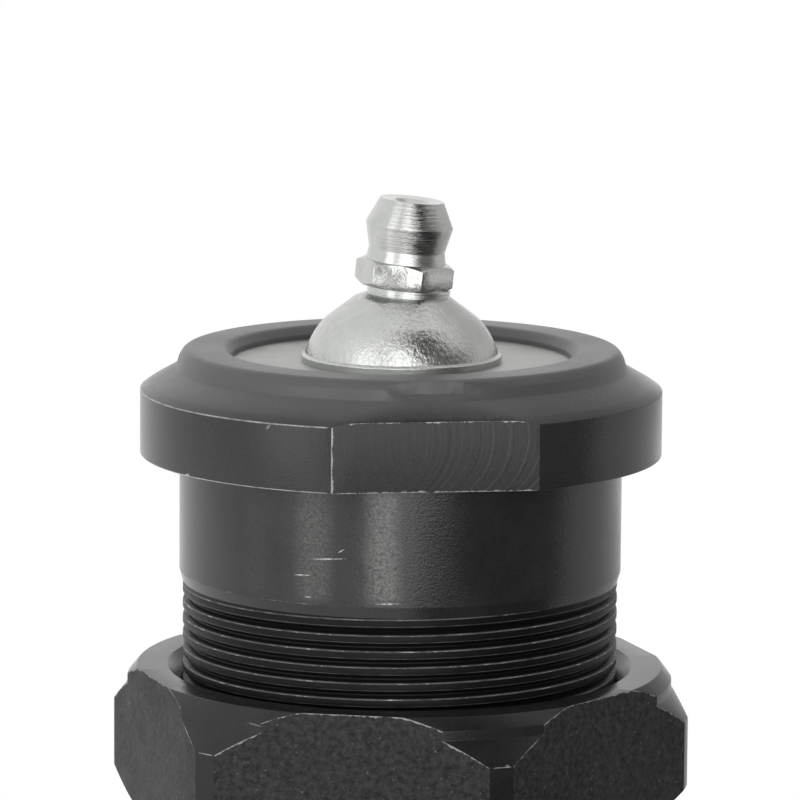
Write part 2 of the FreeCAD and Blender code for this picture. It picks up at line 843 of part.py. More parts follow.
def clamp_nut():
    piece = Piece("clamp_nut")
    bore = thread_radius + dim.running_gap
    mouth = thread_radius + dim.nut_mouth_step
    flat = thread_radius + dim.nut_wall
    step = flat + dim.nut_shoulder_step
    corner = flat + dim.nut_corner_step
    low = flat + dim.nut_low_step
    beyond = flat * 2
    piece.pad(hexagon(flat * 2), nut_foot, dim.nut_height)
    piece.groove([
        (flat + dim.nut_face_step, nut_top),
        (step, nut_top - dim.nut_step_top),
        (step, nut_top - dim.nut_step_foot),
        (corner, nut_top - dim.nut_bevel_foot),
        (corner, nut_foot + dim.nut_low_bevel),
        (low, nut_foot + dim.nut_low_edge),
        (low - dim.nut_low_edge, nut_foot),
        (beyond, nut_foot),
        (beyond, nut_top),
    ])
    piece.groove([
        (AXIS, nut_foot),
        (mouth, nut_foot),
        (bore, nut_foot + mouth - bore),
        (bore, nut_top - mouth + bore),
        (mouth, nut_top),
        (AXIS, nut_top),
    ])
    bind(piece.body, "Placement.Rotation.Angle", dim.nut_turn)


def check_and_write():
    doc.recompute()
    failed = [o.Label for o in doc.Objects if "Invalid" in o.State or "Error" in o.State]
    if failed:
        raise RuntimeError("these objects failed: " + ", ".join(failed))
    kinds = ("PartDesign::Body", "Part::Torus", "Part::Sphere")
    for piece in [o for o in doc.Objects if o.TypeId in kinds]:
        shape = piece.Shape
        if shape.isNull() or not shape.isValid() or len(shape.Solids) != 1:
            raise RuntimeError(piece.Label + " is not one valid solid")
        shape.exportStep("parts/%s.step" % piece.Label)
        print("%-20s %10.1f mm3" % (piece.Label, shape.Volume))


housing()
clamp_nut()
cover_plate()
cover_seal()
nipple_dome()
check_valve(grease_nipple())
preload_spring()
pressure_plate()
upper_bearing_seat()
lower_bearing_seat()
ball_stud()
castle_nut()
cotter_pin()
boot()
check_and_write()
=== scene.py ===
import math

import bmesh
import bpy
from mathutils import Matrix, Vector
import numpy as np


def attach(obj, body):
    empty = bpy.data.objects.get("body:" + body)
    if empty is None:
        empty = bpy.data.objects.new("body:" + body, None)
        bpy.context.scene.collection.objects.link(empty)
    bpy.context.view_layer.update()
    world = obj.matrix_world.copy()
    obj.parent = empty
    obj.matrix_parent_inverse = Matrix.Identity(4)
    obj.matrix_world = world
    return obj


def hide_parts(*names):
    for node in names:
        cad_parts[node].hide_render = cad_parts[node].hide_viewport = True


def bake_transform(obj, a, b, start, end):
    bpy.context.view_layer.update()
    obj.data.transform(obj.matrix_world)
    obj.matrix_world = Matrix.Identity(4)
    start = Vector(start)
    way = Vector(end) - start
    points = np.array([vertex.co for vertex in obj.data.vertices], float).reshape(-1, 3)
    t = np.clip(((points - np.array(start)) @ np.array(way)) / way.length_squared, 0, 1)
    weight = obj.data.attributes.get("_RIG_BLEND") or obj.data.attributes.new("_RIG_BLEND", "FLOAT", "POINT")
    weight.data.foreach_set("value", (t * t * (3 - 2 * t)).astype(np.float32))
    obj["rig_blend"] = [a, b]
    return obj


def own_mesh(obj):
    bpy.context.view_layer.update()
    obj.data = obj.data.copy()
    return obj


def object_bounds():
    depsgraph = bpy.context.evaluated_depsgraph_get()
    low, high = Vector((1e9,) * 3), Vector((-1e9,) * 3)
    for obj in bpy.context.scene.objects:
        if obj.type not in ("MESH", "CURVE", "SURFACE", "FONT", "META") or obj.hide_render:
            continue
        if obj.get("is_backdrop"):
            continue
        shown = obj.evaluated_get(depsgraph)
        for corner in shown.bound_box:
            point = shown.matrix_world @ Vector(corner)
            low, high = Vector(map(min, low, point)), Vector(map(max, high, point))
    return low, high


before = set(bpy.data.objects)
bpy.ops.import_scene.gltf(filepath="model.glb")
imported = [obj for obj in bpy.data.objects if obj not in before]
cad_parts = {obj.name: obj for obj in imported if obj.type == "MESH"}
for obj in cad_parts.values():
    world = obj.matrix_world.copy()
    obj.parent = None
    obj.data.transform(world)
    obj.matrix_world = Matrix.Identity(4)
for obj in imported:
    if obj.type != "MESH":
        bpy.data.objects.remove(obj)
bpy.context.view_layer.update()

# Driving sizes in millimetres, counted from the underside of the flange

MM = 0.001
TURN_STEPS = 240
SHARP_FROM = 35

FLANGE_R = 19.2
FLANGE_TOP = 4.75
CREASE_R = 18.55
CREASE_TOP = 5.2
CONE_TOP_R = 16.6
CONE_TOP = 6.3
SHOULDER_R = 16.35
SHOULDER_TOP = 7.1
CREST_TOP = 7.75
CREST_OUT_R = 15.95
CREST_IN_R = 13.1
FLAT_APOTHEM = 17.7
FLAT_TOP = 5.05
FLAT_TOP_SLOPE = 1.05
FLAT_EASE_FROM = 16.0
FLAT_EASE = 0.1
FLAT_HALF = math.sqrt(FLANGE_R ** 2 - FLAT_APOTHEM ** 2)
FLAT_LEFT_EDGE = -6.9
FLAT_RIGHT_EDGE = 6.5
SHANK_R = 16.3
SHANK_DROP = 8.6
THREAD_TOP = -9.4
THREAD_R = 16.05
THREAD_LAP = 0.03
THREAD_ROOT_R = 15.62
THREAD_END = -27.5
THREAD_BEVEL = 0.7
PITCH = 1.16
THREAD_STEPS = 144
BOOT_SEAT_R = 14.25
BOOT_GROOVE_R = 12.6
BOOT_GROOVE_TOP = -28.5
BOOT_GROOVE_FOOT = -30.5
BOOT_LIP_R = 13.3
HOUSING_FOOT = -31.0
MOUTH_R = 11.5
THROAT_R = 10.4
LEDGE = -28.0
BORE_R = 13.0
COVER_FOOT = 5.5
COVER_TOP = 6.8
COVER_BORE_R = 14.45
LIP_R = 12.45
LIP_EDGE = 0.35
SEAL_R = 13.7
SEAL_WIRE = 0.9
PLATE_R = 14.4
PLATE_HOLE_R = 4.55

DOME_TOP = 11.85
DOME_CROWN_R = 2.65
DOME_SHOULDER_R = 3.5
DOME_SHOULDER = 11.55
DOME_WAIST_R = 5.6
DOME_WAIST = 9.95
DOME_FOOT_R = 7.1
DOME_FOOT = 7.4
DOME_RIM_R = 7.42
DOME_RIM = 7.25
DOME_BASE_R = 7.3
DOME_ROUND = 6.0
SPIGOT_R = 4.53
RIVET_R = 5.3
RIVET_DEPTH = 0.7

NIPPLE_SEAT = 11.55
NIPPLE_LEAN = math.radians(5.6)
NIPPLE_HEADING = math.radians(-8.0)
NIPPLE_ROOT_R = 2.35
NIPPLE_ROOT = -3.6
COLLAR_R = 3.05
COLLAR_ASIDE = 0.45
COLLAR_TOP = 0.73
COLLAR_LAP = 0.1
HEX_APOTHEM = 3.175
HEX_TURN = math.radians(-17.3)
HEX_TOP = 2.63
HEX_BEVEL = 0.35
NECK_FOOT_R = 2.95
NECK_R = 2.8
NECK_TOP = 3.48
HEAD_R = 3.225
HEAD_MIDDLE = 5.31
HEAD_TOP_R = 2.35
HEAD_TOP = 7.19
INLET_R = 0.8
INLET_FLARE = 0.5
INLET_DISH = 0.12
INLET_DEPTH = 0.45
CHAMBER_TOP = 6.29
CHAMBER_R = 1.3
SPRING_LEDGE = 1.1
OUTLET_R = 0.75


def hold(low, value, high):
    return max(low, min(high, value))


# Outlines and turning

def outline(corners, closed=True):
    """Points of a turned outline; a corner is (radius, height, rounding, wear)."""
    points = []
    count = len(corners)
    for i, corner in enumerate(corners):
        here = Vector(corner[:2])
        rounding = corner[2] if len(corner) > 2 else 0.0
        wear = corner[3] if len(corner) > 3 else 0.0
        is_end = not closed and i in (0, count - 1)
        if rounding <= 0 or is_end:
            points.append((here.x, here.y, wear))
            continue
        back = Vector(corners[i - 1][:2]) - here
        ahead = Vector(corners[(i + 1) % count][:2]) - here
        points += rounded_corner(here, back, ahead, rounding, wear)
    return points


def rounded_corner(here, back, ahead, rounding, wear):
    half_turn = back.angle(ahead) / 2
    reach = min(rounding / math.tan(half_turn), back.length * 0.48, ahead.length * 0.48)
    radius = reach * math.tan(half_turn)
    inward = (back.normalized() + ahead.normalized()).normalized()
    middle = here + inward * (radius / math.sin(half_turn))
    start = here + back.normalized() * reach - middle
    sweep = start.angle_signed(here + ahead.normalized() * reach - middle)
    steps = max(4 if wear else 2, int(abs(math.degrees(sweep)) / 12) + 1)
    found = []
    for k in range(steps + 1):
        arm = start.copy()
        arm.rotate(Matrix.Rotation(-sweep * k / steps, 2))
        spot = middle + arm
        found.append((spot.x, spot.y, wear if 0 < k < steps else 0.0))
    return found


def rings_between(start, end, count):
    """Points along a straight run, so that it can be bent."""
    here, there = Vector(start), Vector(end)
    return [tuple(here.lerp(there, k / (count + 1))) for k in range(1, count + 1)]


def arc(start, end, radius, steps=10):
    """Points of a round from start to end; its middle is on the left of the way."""
    here, there = Vector(start), Vector(end)
    chord = there - here
    left = Vector((-chord.y, chord.x)).normalized()
    aside = math.copysign(math.sqrt(radius ** 2 - (chord.length / 2) ** 2), radius)
    middle = (here + there) / 2 + left * aside
    arm = here - middle
    sweep = arm.angle_signed(there - middle)
    found = []
    for k in range(steps + 1):
        spoke = arm.copy()
        spoke.rotate(Matrix.Rotation(-sweep * k / steps, 2))
        found.append(tuple(middle + spoke))
    return found


def join(bm, part):
    """Add another mesh to this one."""
    spare = bpy.data.meshes.new("spare")
    part.to_mesh(spare)
    part.free()
    bm.from_mesh(spare)
    bpy.data.meshes.remove(spare)


def turn(bm, points, closed=True, steps=TURN_STEPS, centre=(0, 0, 0)):
    """Spin an outline about the upright axis and close its poles."""
    worn = bm.verts.layers.float.get("worn") or bm.verts.layers.float.new("worn")
    verts = []
    for radius, height, wear in points:
        vert = bm.verts.new((radius + centre[0], centre[1], height + centre[2]))
        vert[worn] = wear
        verts.append(vert)
    edges = [bm.edges.new(pair) for pair in zip(verts, verts[1:])]
    if closed:
        edges.append(bm.edges.new((verts[-1], verts[0])))
    bmesh.ops.spin(bm, geom=verts + edges, cent=centre, axis=(0, 0, 1), angle=math.tau,
                   steps=steps, use_merge=True, use_duplicate=False)
    bmesh.ops.remove_doubles(bm, verts=bm.verts, dist=1e-4)


def finish_piece(bm, name, material, body, node, smooth=SHARP_FROM):
    """Turn the finished mesh from millimetres into a piece of the object.

    A piece without a body is blended between two bodies by its caller."""
    bmesh.ops.remove_doubles(bm, verts=bm.verts, dist=1e-5)
    bmesh.ops.recalc_face_normals(bm, faces=bm.faces)
    bmesh.ops.scale(bm, vec=(MM, MM, MM), verts=bm.verts)
    mesh = bpy.data.meshes.new(name)
    bm.to_mesh(mesh)
    bm.free()
    mesh.shade_smooth()
    mesh.set_sharp_from_angle(angle=math.radians(smooth))
    piece = bpy.data.objects.new(name, mesh)
    bpy.context.scene.collection.objects.link(piece)
    mesh.materials.append(material)
    if body:
        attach(piece, body)
    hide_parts(node)
    return piece


# Shader tools

class Channel:
    """A shader value that can be used in sums."""

    def __init__(self, paint, socket):
        self.paint = paint
        self.socket = socket

    def maths(self, operation, *others):
        return self.paint.node("ShaderNodeMath", {"operation": operation},
                               dict(enumerate((self,) + others)))

    def __add__(self, other):
        return self.maths("ADD", other)

    def __sub__(self, other):
        return self.maths("SUBTRACT", other)

    def __rsub__(self, other):
        return (self * -1.0) + other

    def __mul__(self, other):
        return self.maths("MULTIPLY", other)

    def __or__(self, other):
        return self.maths("MAXIMUM", other)

    __radd__ = __add__
    __rmul__ = __mul__


class Paint:
    """A material and its nodes."""

    def __init__(self, name):
        self.material = bpy.data.materials.new(name)
        self.material.use_nodes = True
        self.tree = self.material.node_tree
        self.shader = self.tree.nodes["Principled BSDF"]
        self.place = self.node("ShaderNodeTexCoord", {}, {}, "Object")

    def node(self, kind, settings, sockets, output=0):
        made = self.tree.nodes.new(kind)
        for key, value in settings.items():
            setattr(made, key, value)
        for key, value in sockets.items():
            self.feed(made.inputs[key], value)
        return Channel(self, made.outputs[output])

    def feed(self, socket, value):
        if isinstance(value, Channel):
            self.tree.links.new(value.socket, socket)
        elif socket.type == "RGBA":
            socket.default_value = (*value[:3], 1.0)
        else:
            socket.default_value = value

    def set(self, **values):
        for key, value in values.items():
            self.feed(self.shader.inputs[key.replace("_", " ").title()], value)

    def noise(self, scale, detail=4.0, roughness=0.6, vector=None, distortion=0.0):
        return self.node("ShaderNodeTexNoise", {}, {
            "Vector": vector or self.place, "Scale": scale, "Detail": detail,
            "Roughness": roughness, "Distortion": distortion})

    def stretch(self, scale, vector=None):
        """The object's own coordinates, stretched along its axes."""
        return self.node("ShaderNodeMapping", {}, {"Vector": vector or self.place, "Scale": scale})

    def stand(self, location, rotation, scale=(1.0, 1.0, 1.0)):
        """The object's own coordinates, as seen from a place, turned and measured in a scale."""
        return self.node("ShaderNodeMapping", {"vector_type": "TEXTURE"}, {
            "Vector": self.place, "Location": location, "Rotation": rotation, "Scale": scale})

    def span(self, value, low, high, to_low=0.0, to_high=1.0):
        return self.node("ShaderNodeMapRange", {"clamp": True}, {
            "Value": value, "From Min": low, "From Max": high, "To Min": to_low, "To Max": to_high})

    def mix(self, factor, first, second):
        return self.node("ShaderNodeMix", {"data_type": "RGBA"},
                         {0: factor, 6: first, 7: second}, 2)

    def attribute(self, name):
        return self.node("ShaderNodeAttribute", {"attribute_name": name}, {}, 2)

    def axis(self, letter):
        return self.node("ShaderNodeSeparateXYZ", {}, {0: self.place}, "XYZ".index(letter))

    def length(self, vector):
        return self.node("ShaderNodeVectorMath", {"operation": "LENGTH"}, {0: vector}, 1)

    def bump(self, height, strength, distance, under=None):
        sockets = {"Height": height, "Strength": strength, "Distance": distance}
        if under:
            sockets["Normal"] = under
        return self.node("ShaderNodeBump", {}, sockets)

    def scratch(self, heading, radius, height, length, width, slope=0.0):
        """A mask of one scratch on a turned face; headings are degrees round from the front."""
        turned = math.radians(heading)
        place = (radius * MM * math.sin(turned), -radius * MM * math.cos(turned), height * MM)
        frame_of_it = self.stand(place, (0.0, math.radians(-slope), turned),
                                 (length * MM, SCRATCH_REACH * MM, width * MM))
        return self.span(self.length(frame_of_it), 1.0, 0.5)

    def scratches(self, marks, strength):
        """One mask of several scratches, broken up by fine noise."""
        found = None
        for mark in marks:
            found = self.scratch(*mark) | found if found else self.scratch(*mark)
        return found * self.span(self.noise(SCRATCH_BREAK, 3.0), 0.4, 0.55, 0.2, strength)


# Clamp nut's sizes, which its forged faces' edges also follow
NUT_TURN = math.radians(-18.2)
NUT_TOP = -15.85
NUT_FOOT = -26.35
NUT_APOTHEM = 19.05
NUT_FACE_R = 19.4
NUT_STEP_R = 20.15
NUT_STEP_TOP = -16.75
NUT_STEP_FOOT = -17.45
NUT_CORNER_R = 21.5
NUT_BEVEL_FOOT = -19.25
NUT_LOW_BEVEL = -24.35
NUT_LOW_R = 20.2
NUT_LOW_EDGE = -25.75
NUT_MOUTH_R = 17.2
NUT_BORE_R = 16.1
NUT_BARE_FROM = -18.0
NUT_BARE_HALF = 8.5

SCRATCH_REACH = 0.6
SCRATCH_BREAK = 4000.0

BLACK = (0.014, 0.0142, 0.014)
BLACK_LIGHT = (0.027, 0.0275, 0.027)
# Painted sheen: the colour of the housing's top, lighter where it faces up to the light
BLACK_TOP_SHEEN = (0.086, 0.087, 0.086)
# Painted highlight: the colour of the lighter upright bands on the shank, which also have coarse grain
BLACK_COARSE_SHEEN = (0.17, 0.17, 0.163)
BLACK_WORN = (0.5, 0.5, 0.49)
# Painted shade: the thread's base colour, darker than the housing's black
THREAD_SHADED_BLACK = (0.006, 0.0061, 0.006)
MILLED = (0.007, 0.007, 0.0069)
MILLED_LIGHT = (0.05, 0.05, 0.049)
FORGED = (0.005, 0.005, 0.0049)
FORGED_LIGHT = (0.044, 0.0445, 0.044)
RUBBER = (0.014, 0.014, 0.014)
RUBBER_DUSTY = (0.034, 0.034, 0.033)

# Heading, radius, height, half length, half width and slope of each scratch
HOUSING_MARKS = (
    (-26.2, 16.3, -5.22, 1.45, 0.07, 4.0), (-33.2, 16.3, -6.53, 0.75, 0.06, 3.0),
    (-31.7, 16.3, -8.08, 0.3, 0.05, 0.0), (-10.9, 16.3, -8.3, 1.0, 0.06, 1.0),
    (-23.0, 16.3, -4.6, 0.35, 0.05, 30.0), (-37.3, 19.2, 4.48, 0.3, 0.1, 50.0),
    (-60.9, 19.2, 0.1, 0.35, 0.14, 0.0), (-27.0, 14.9, 7.3, 0.25, 0.08, 0.0),
    (-14.2, 14.0, 7.6, 0.22, 0.07, 20.0), (-1.1, 13.4, 7.6, 0.55, 0.07, 0.0),
    (3.7, 13.6, 7.6, 0.3, 0.06, 10.0), (50.7, 15.3, 7.5, 0.4, 0.08, 0.0),
)

# Bright scores on the nut's front: on its cone, and on the bevel at its right end
NUT_MARKS = (
    (-38.5, 20.6, -16.9, 1.5, 0.07, -8.0), (-33.0, 20.9, -17.6, 0.35, 0.14, 10.0),
    (-27.5, 20.6, -16.6, 0.5, 0.08, -20.0), (2.0, 20.8, -17.3, 0.8, 0.06, 6.0),
    (13.0, 21.2, -19.2, 0.2, 0.12, 0.0), (-58.0, 20.8, -17.0, 0.9, 0.06, 12.0),
)


def edge_wear(paint):
    """Where the blackening has rubbed off the edges."""
    nicks = paint.noise(1100.0, 5.0, 0.65)
    return paint.span(paint.attribute("worn") * 0.9 + nicks, 1.05, 1.5)


def edge_line(paint, away, bare=0.0):
    """A bright, nicked line along an edge, from how many metres away the edge is."""
    nicks = paint.noise(1300.0, 4.0, 0.7)
    reach = (nicks - 0.47) * 0.0007 + bare
    return paint.span(away - reach, 0.00005, 0.0, 0.0, 0.75)


# Heading of the middle, half width and strength of each upright band on the shank, where coarse grain
# carries a painted highlight
SHANK_SHEEN_BANDS = ((-12.3, 5.5, 0.95), (-30.3, 6.0, 0.5), (-47.0, 6.0, 0.12))

# Heights in metres between which the bands fade in at the shank's foot and out at its head
SHEEN_BANDS_FOOT = (-0.0086, -0.0078)
SHEEN_BANDS_HEAD = (0.0, -0.0006)


def shank_coarse_sheen(paint):
    """Upright bands of coarse, thin blackening on the shank, painted lighter as a painted highlight where
    the strip lights reflect.
    """
    heading = paint.axis("X").maths("ARCTAN2", paint.axis("Y") * -1.0) * (180.0 / math.pi)
    heading = heading + paint.noise(400.0, 3.0) * 3.0 - 1.5
    found = None
    for middle, reach, strength in SHANK_SHEEN_BANDS:
        band = paint.span((heading - middle).maths("ABSOLUTE"), reach, reach * 0.3) * strength
        found = found | band if found else band
    coarse = paint.span(paint.noise(5200.0, 5.0, 0.75), 0.4, 0.6, 0.15, 1.0)
    height = paint.axis("Z")
    return found * coarse * paint.span(height, *SHEEN_BANDS_FOOT) * paint.span(height, *SHEEN_BANDS_HEAD)


def blackened_steel(name="blackened_steel", marks=(), rim=False, shine=0.5):
    """Turned and blackened steel with small pits and bright nicks on its edges; with rim set, its top and
    upright bands on its shank are painted lighter, as painted sheen and painted highlight.
    """
    paint = Paint(name)
    cloud = paint.noise(150.0, 5.0, 0.6)
    grain = paint.noise(6000.0, 3.0, 0.6)
    pits = paint.span(paint.noise(2600.0, 3.0, 0.5), 0.6, 0.72)
    rings = paint.noise(1.0, 3.0, 0.7, paint.stretch((200.0, 200.0, 9000.0)))
    wear = edge_wear(paint)
    if marks:
        wear = wear | paint.scratches(marks, 1.0)
    tone = paint.mix(paint.span(cloud + grain * 0.7, 0.65, 1.1), BLACK, BLACK_LIGHT)
    spread = paint.span(cloud + grain * 0.5, 0.5, 1.0, 0.13, 0.24)
    if rim:
        # Painted sheen: from the crease up, and fully on the shoulder and crest, the housing is painted
        # lighter where it faces up
        top_sheen = paint.span(paint.axis("Z") + cloud * 0.0006, 0.0052, 0.0068)
        tone = paint.mix(top_sheen, tone, BLACK_TOP_SHEEN)
        spread = spread + top_sheen * 0.16
        # Painted highlight: upright bands on the shank are painted lighter, over coarse grain
        tone = paint.mix(shank_coarse_sheen(paint), tone, BLACK_COARSE_SHEEN)
    paint.set(base_color=paint.mix(wear, tone, BLACK_WORN), roughness=spread, metallic=wear * 0.35)
    paint.feed(paint.shader.inputs["Specular IOR Level"], shine)
    low = paint.bump(rings, 0.12, 0.00005)
    mid = paint.bump(pits, -0.4, 0.00008, low)
    paint.set(normal=paint.bump(grain, 0.3, 0.00006, mid))
    return paint.material


def blackened_thread():
    """The blackened thread: painted darker than the housing's black, as painted shade, with crests that
    shine in dashes and a thin lighter line along the crest edges that is partly worn blackening and partly
    painted highlight.
    """
    paint = Paint("blackened_thread")
    grain = paint.noise(5200.0, 4.0, 0.65)
    smear = paint.noise(1.0, 4.0, 0.65, paint.stretch((700.0, 700.0, 5000.0)))
    dashes = paint.noise(850.0, 4.0, 0.7)
    edge = paint.attribute("worn")
    wear = paint.span(edge * 0.62 + dashes, 1.08, 1.2)
    # A lighter line along the crest edges: partly thin, worn blackening and partly a painted highlight
    thin_and_highlight = paint.span(edge, 0.45, 0.8) * paint.span(smear, 0.35, 0.62, 0.08, 0.3)
    # Painted shade: the whole thread is painted darker than the housing's black
    paint.set(base_color=paint.mix(wear | thin_and_highlight, THREAD_SHADED_BLACK, BLACK_WORN),
              roughness=paint.span(grain + smear, 0.7, 1.3, 0.3, 0.5), metallic=wear * 0.35)
    paint.feed(paint.shader.inputs["Specular IOR Level"], 0.14)
    low = paint.bump(smear, 0.35, 0.00008)
    paint.set(normal=paint.bump(grain, 0.3, 0.00006, low))
    return paint.material


MILL_CENTRE = 3.9
MILL_REACH = 5.0


def milled_flat():
    """A flat that was milled and then blackened: arcs of the cutter, over and over."""
    paint = Paint("milled_flat")
    rise = paint.axis("Z") - MILL_CENTRE * MM
    half_chord = (((MILL_REACH * MM) ** 2 - rise * rise) | 0.0).maths("SQRT")
    wander = paint.noise(500.0, 2.0) * 0.0002
    across = paint.axis("X") + wander
    grain = paint.noise(6000.0, 3.0, 0.6)
    arcs = []
    for side in (-1.0, 1.0):
        ring = paint.node("ShaderNodeCombineXYZ", {}, {0: across + half_chord * side})
        arcs.append(paint.noise(1.0, 5.0, 0.75, paint.stretch((3200.0, 1.0, 1.0), ring)))
    leading = paint.span(across, -0.0035, 0.0005)
    swirl = arcs[0] * leading + arcs[1] * (1.0 - leading) * 0.5 + (1.0 - leading) * 0.25
    patches = paint.noise(300.0, 4.0)
    height = paint.axis("Z")
    long_edges = height.maths("MINIMUM", FLAT_TOP * MM - height)
    left_edge = paint.axis("X") + FLAT_HALF * MM
    wear = edge_line(paint, long_edges) | edge_line(paint, left_edge, 0.00008)
    scored = paint.span(swirl, 0.58, 0.68) * paint.span(patches, 0.35, 0.6) * 0.33
    tone = paint.mix(paint.span(swirl + grain * 0.5, 0.55, 0.95), MILLED, MILLED_LIGHT)
    paint.set(base_color=paint.mix(wear | scored, tone, BLACK_WORN),
              roughness=paint.span(grain, 0.3, 0.7, 0.4, 0.55), metallic=wear * 0.35)
    low = paint.bump(swirl, 0.45, 0.00006)
    paint.set(normal=paint.bump(grain, 0.2, 0.00004, low))
    return paint.material


def forged_steel():
    """Forged nut faces: coarse speckle under the blackening."""
    paint = Paint("forged_steel")
    cloud = paint.noise(260.0, 5.0, 0.6)
    speckle = paint.noise(2300.0, 6.0, 0.75)
    flecks = paint.span(paint.noise(3600.0, 3.0, 0.6), 0.66, 0.78)
    outward = paint.length(paint.stretch((1.0, 1.0, 0.0)))
    past_step = outward.maths("GREATER_THAN", NUT_STEP_R * MM)
    inner = paint.span(outward, NUT_FACE_R * MM, NUT_STEP_R * MM, NUT_TOP * MM, NUT_STEP_TOP * MM)
    outer = paint.span(outward, NUT_STEP_R * MM, NUT_CORNER_R * MM,
                       NUT_STEP_FOOT * MM, NUT_BEVEL_FOOT * MM)
    edge = inner * (1.0 - past_step) + outer * past_step
    wear = edge_line(paint, edge - paint.axis("Z"), 0.00001) * 0.8
    tone = paint.mix(paint.span(speckle, 0.36, 0.64), FORGED, FORGED_LIGHT)
    paint.set(base_color=paint.mix(wear | (flecks * 0.45), tone, BLACK_WORN),
              roughness=paint.span(cloud, 0.3, 0.7, 0.45, 0.6), metallic=wear * 0.35)
    paint.feed(paint.shader.inputs["Specular IOR Level"], 0.2)
    low = paint.bump(cloud, 0.3, 0.0002)
    paint.set(normal=paint.bump(speckle, 0.5, 0.0001, low))
    return paint.material


def zinc_plate(name, roughness, wrinkle, turned=None, tilt=(0.0, 0.0, 0.0), dent_scale=1500.0,
               tones=((0.5, 0.51, 0.49), (0.6, 0.61, 0.59))):
    """Bright zinc plating; turned gives the strength of its lathe lines, tilt the way they lie."""
    paint = Paint(name)
    cloud = paint.noise(420.0, 5.0, 0.6)
    dents = paint.noise(dent_scale, 4.0, 0.55, distortion=0.6)
    grain = paint.noise(7000.0, 3.0, 0.6)
    tone = paint.mix(paint.span(cloud + grain * 0.3, 0.45, 0.85), *tones)
    spread = cloud + grain * 0.4
    height = paint.bump(dents, wrinkle, 0.0001)
    if turned:
        tilted = paint.stand((0, 0, 0), tilt)
        lathe = paint.noise(1.0, 5.0, 0.75, paint.stretch((90.0, 90.0, 6000.0), tilted))
        height = paint.bump(lathe, turned, 0.00006, height)
        spread = spread + lathe * 0.4
    paint.set(base_color=tone, metallic=1.0, roughness=paint.span(spread, 0.5, 1.1, *roughness))
    paint.set(normal=paint.bump(grain, 0.12, 0.00003, height))
    return paint.material


def plain_steel():
    """Bare turned steel."""
    paint = Paint("plain_steel")
    cloud = paint.noise(300.0, 4.0, 0.6)
    fine = paint.noise(1.0, 3.0, 0.7, paint.stretch((300.0, 300.0, 7000.0)))
    paint.set(base_color=paint.mix(cloud, (0.36, 0.36, 0.35), (0.5, 0.5, 0.49)), metallic=1.0,
              roughness=paint.span(fine, 0.3, 0.7, 0.25, 0.4))
    paint.set(normal=paint.bump(fine, 0.15, 0.00004))
    return paint.material


def bearing_plastic():
    """Off-white moulded plastic."""
    paint = Paint("bearing_plastic")
    cloud = paint.noise(250.0, 4.0, 0.6)
    paint.set(base_color=paint.mix(cloud, (0.62, 0.6, 0.5), (0.74, 0.72, 0.62)),
              roughness=paint.span(cloud, 0.3, 0.7, 0.4, 0.5))
    paint.set(normal=paint.bump(paint.noise(3000.0), 0.1, 0.00004))
    return paint.material


def boot_rubber():
    """Moulded black rubber, slightly dusty in patches."""
    paint = Paint("boot_rubber")
    cloud = paint.noise(200.0, 5.0, 0.6)
    grain = paint.noise(4200.0, 4.0, 0.7)
    paint.set(base_color=paint.mix(paint.span(cloud, 0.35, 0.7), RUBBER, RUBBER_DUSTY),
              roughness=paint.span(cloud, 0.3, 0.7, 0.45, 0.65))
    paint.set(normal=paint.bump(grain, 0.25, 0.00006))
    return paint.material


LEAN_AXIS = Vector((-math.sin(NIPPLE_HEADING), math.cos(NIPPLE_HEADING), 0))
LEAN = Matrix.Rotation(NIPPLE_LEAN, 4, LEAN_AXIS)
NIPPLE_FRAME = Matrix.Translation((0, 0, NIPPLE_SEAT)) @ LEAN

black = blackened_steel(marks=HOUSING_MARKS, rim=True)
nut_black = blackened_steel("blackened_nut", NUT_MARKS, shine=0.28)
thread_black = blackened_thread()
milled = milled_flat()
forged = forged_steel()
dome_zinc = zinc_plate("dome_zinc", (0.19, 0.31), 0.5, dent_scale=3400.0)
plate_zinc = zinc_plate("plate_zinc", (0.4, 0.55), 0.2,
                        tones=((0.37, 0.38, 0.365), (0.46, 0.47, 0.455)))
nipple_zinc = zinc_plate("nipple_zinc", (0.08, 0.2), 0.12, 0.5, tuple(LEAN.to_euler()))
hex_zinc = zinc_plate("hex_zinc", (0.14, 0.26), 0.38,
                      tones=((0.45, 0.46, 0.44), (0.58, 0.59, 0.57)))
zinc = zinc_plate("zinc_plate", (0.2, 0.34), 0.2)
steel = plain_steel()
plastic = bearing_plastic()
rubber = boot_rubber()


# Threads and flats

def thread_outline(root, crest_radius):
    """One pitch of the thread's outline: broad worn crests with narrow grooves between them."""
    return [(root, 0.0, 0.0), (root, PITCH * 0.06, 0.0),
            (crest_radius - 0.05, PITCH * 0.26, 0.0), (crest_radius, PITCH * 0.34, 0.75),
            (crest_radius, PITCH * 0.42, 0.0), (crest_radius, PITCH * 0.68, 0.0),
            (crest_radius - 0.02, PITCH * 0.76, 0.95), (crest_radius - 0.1, PITCH * 0.83, 0.5),
            (root, PITCH * 0.96, 0.0), (root, PITCH, 0.0)]


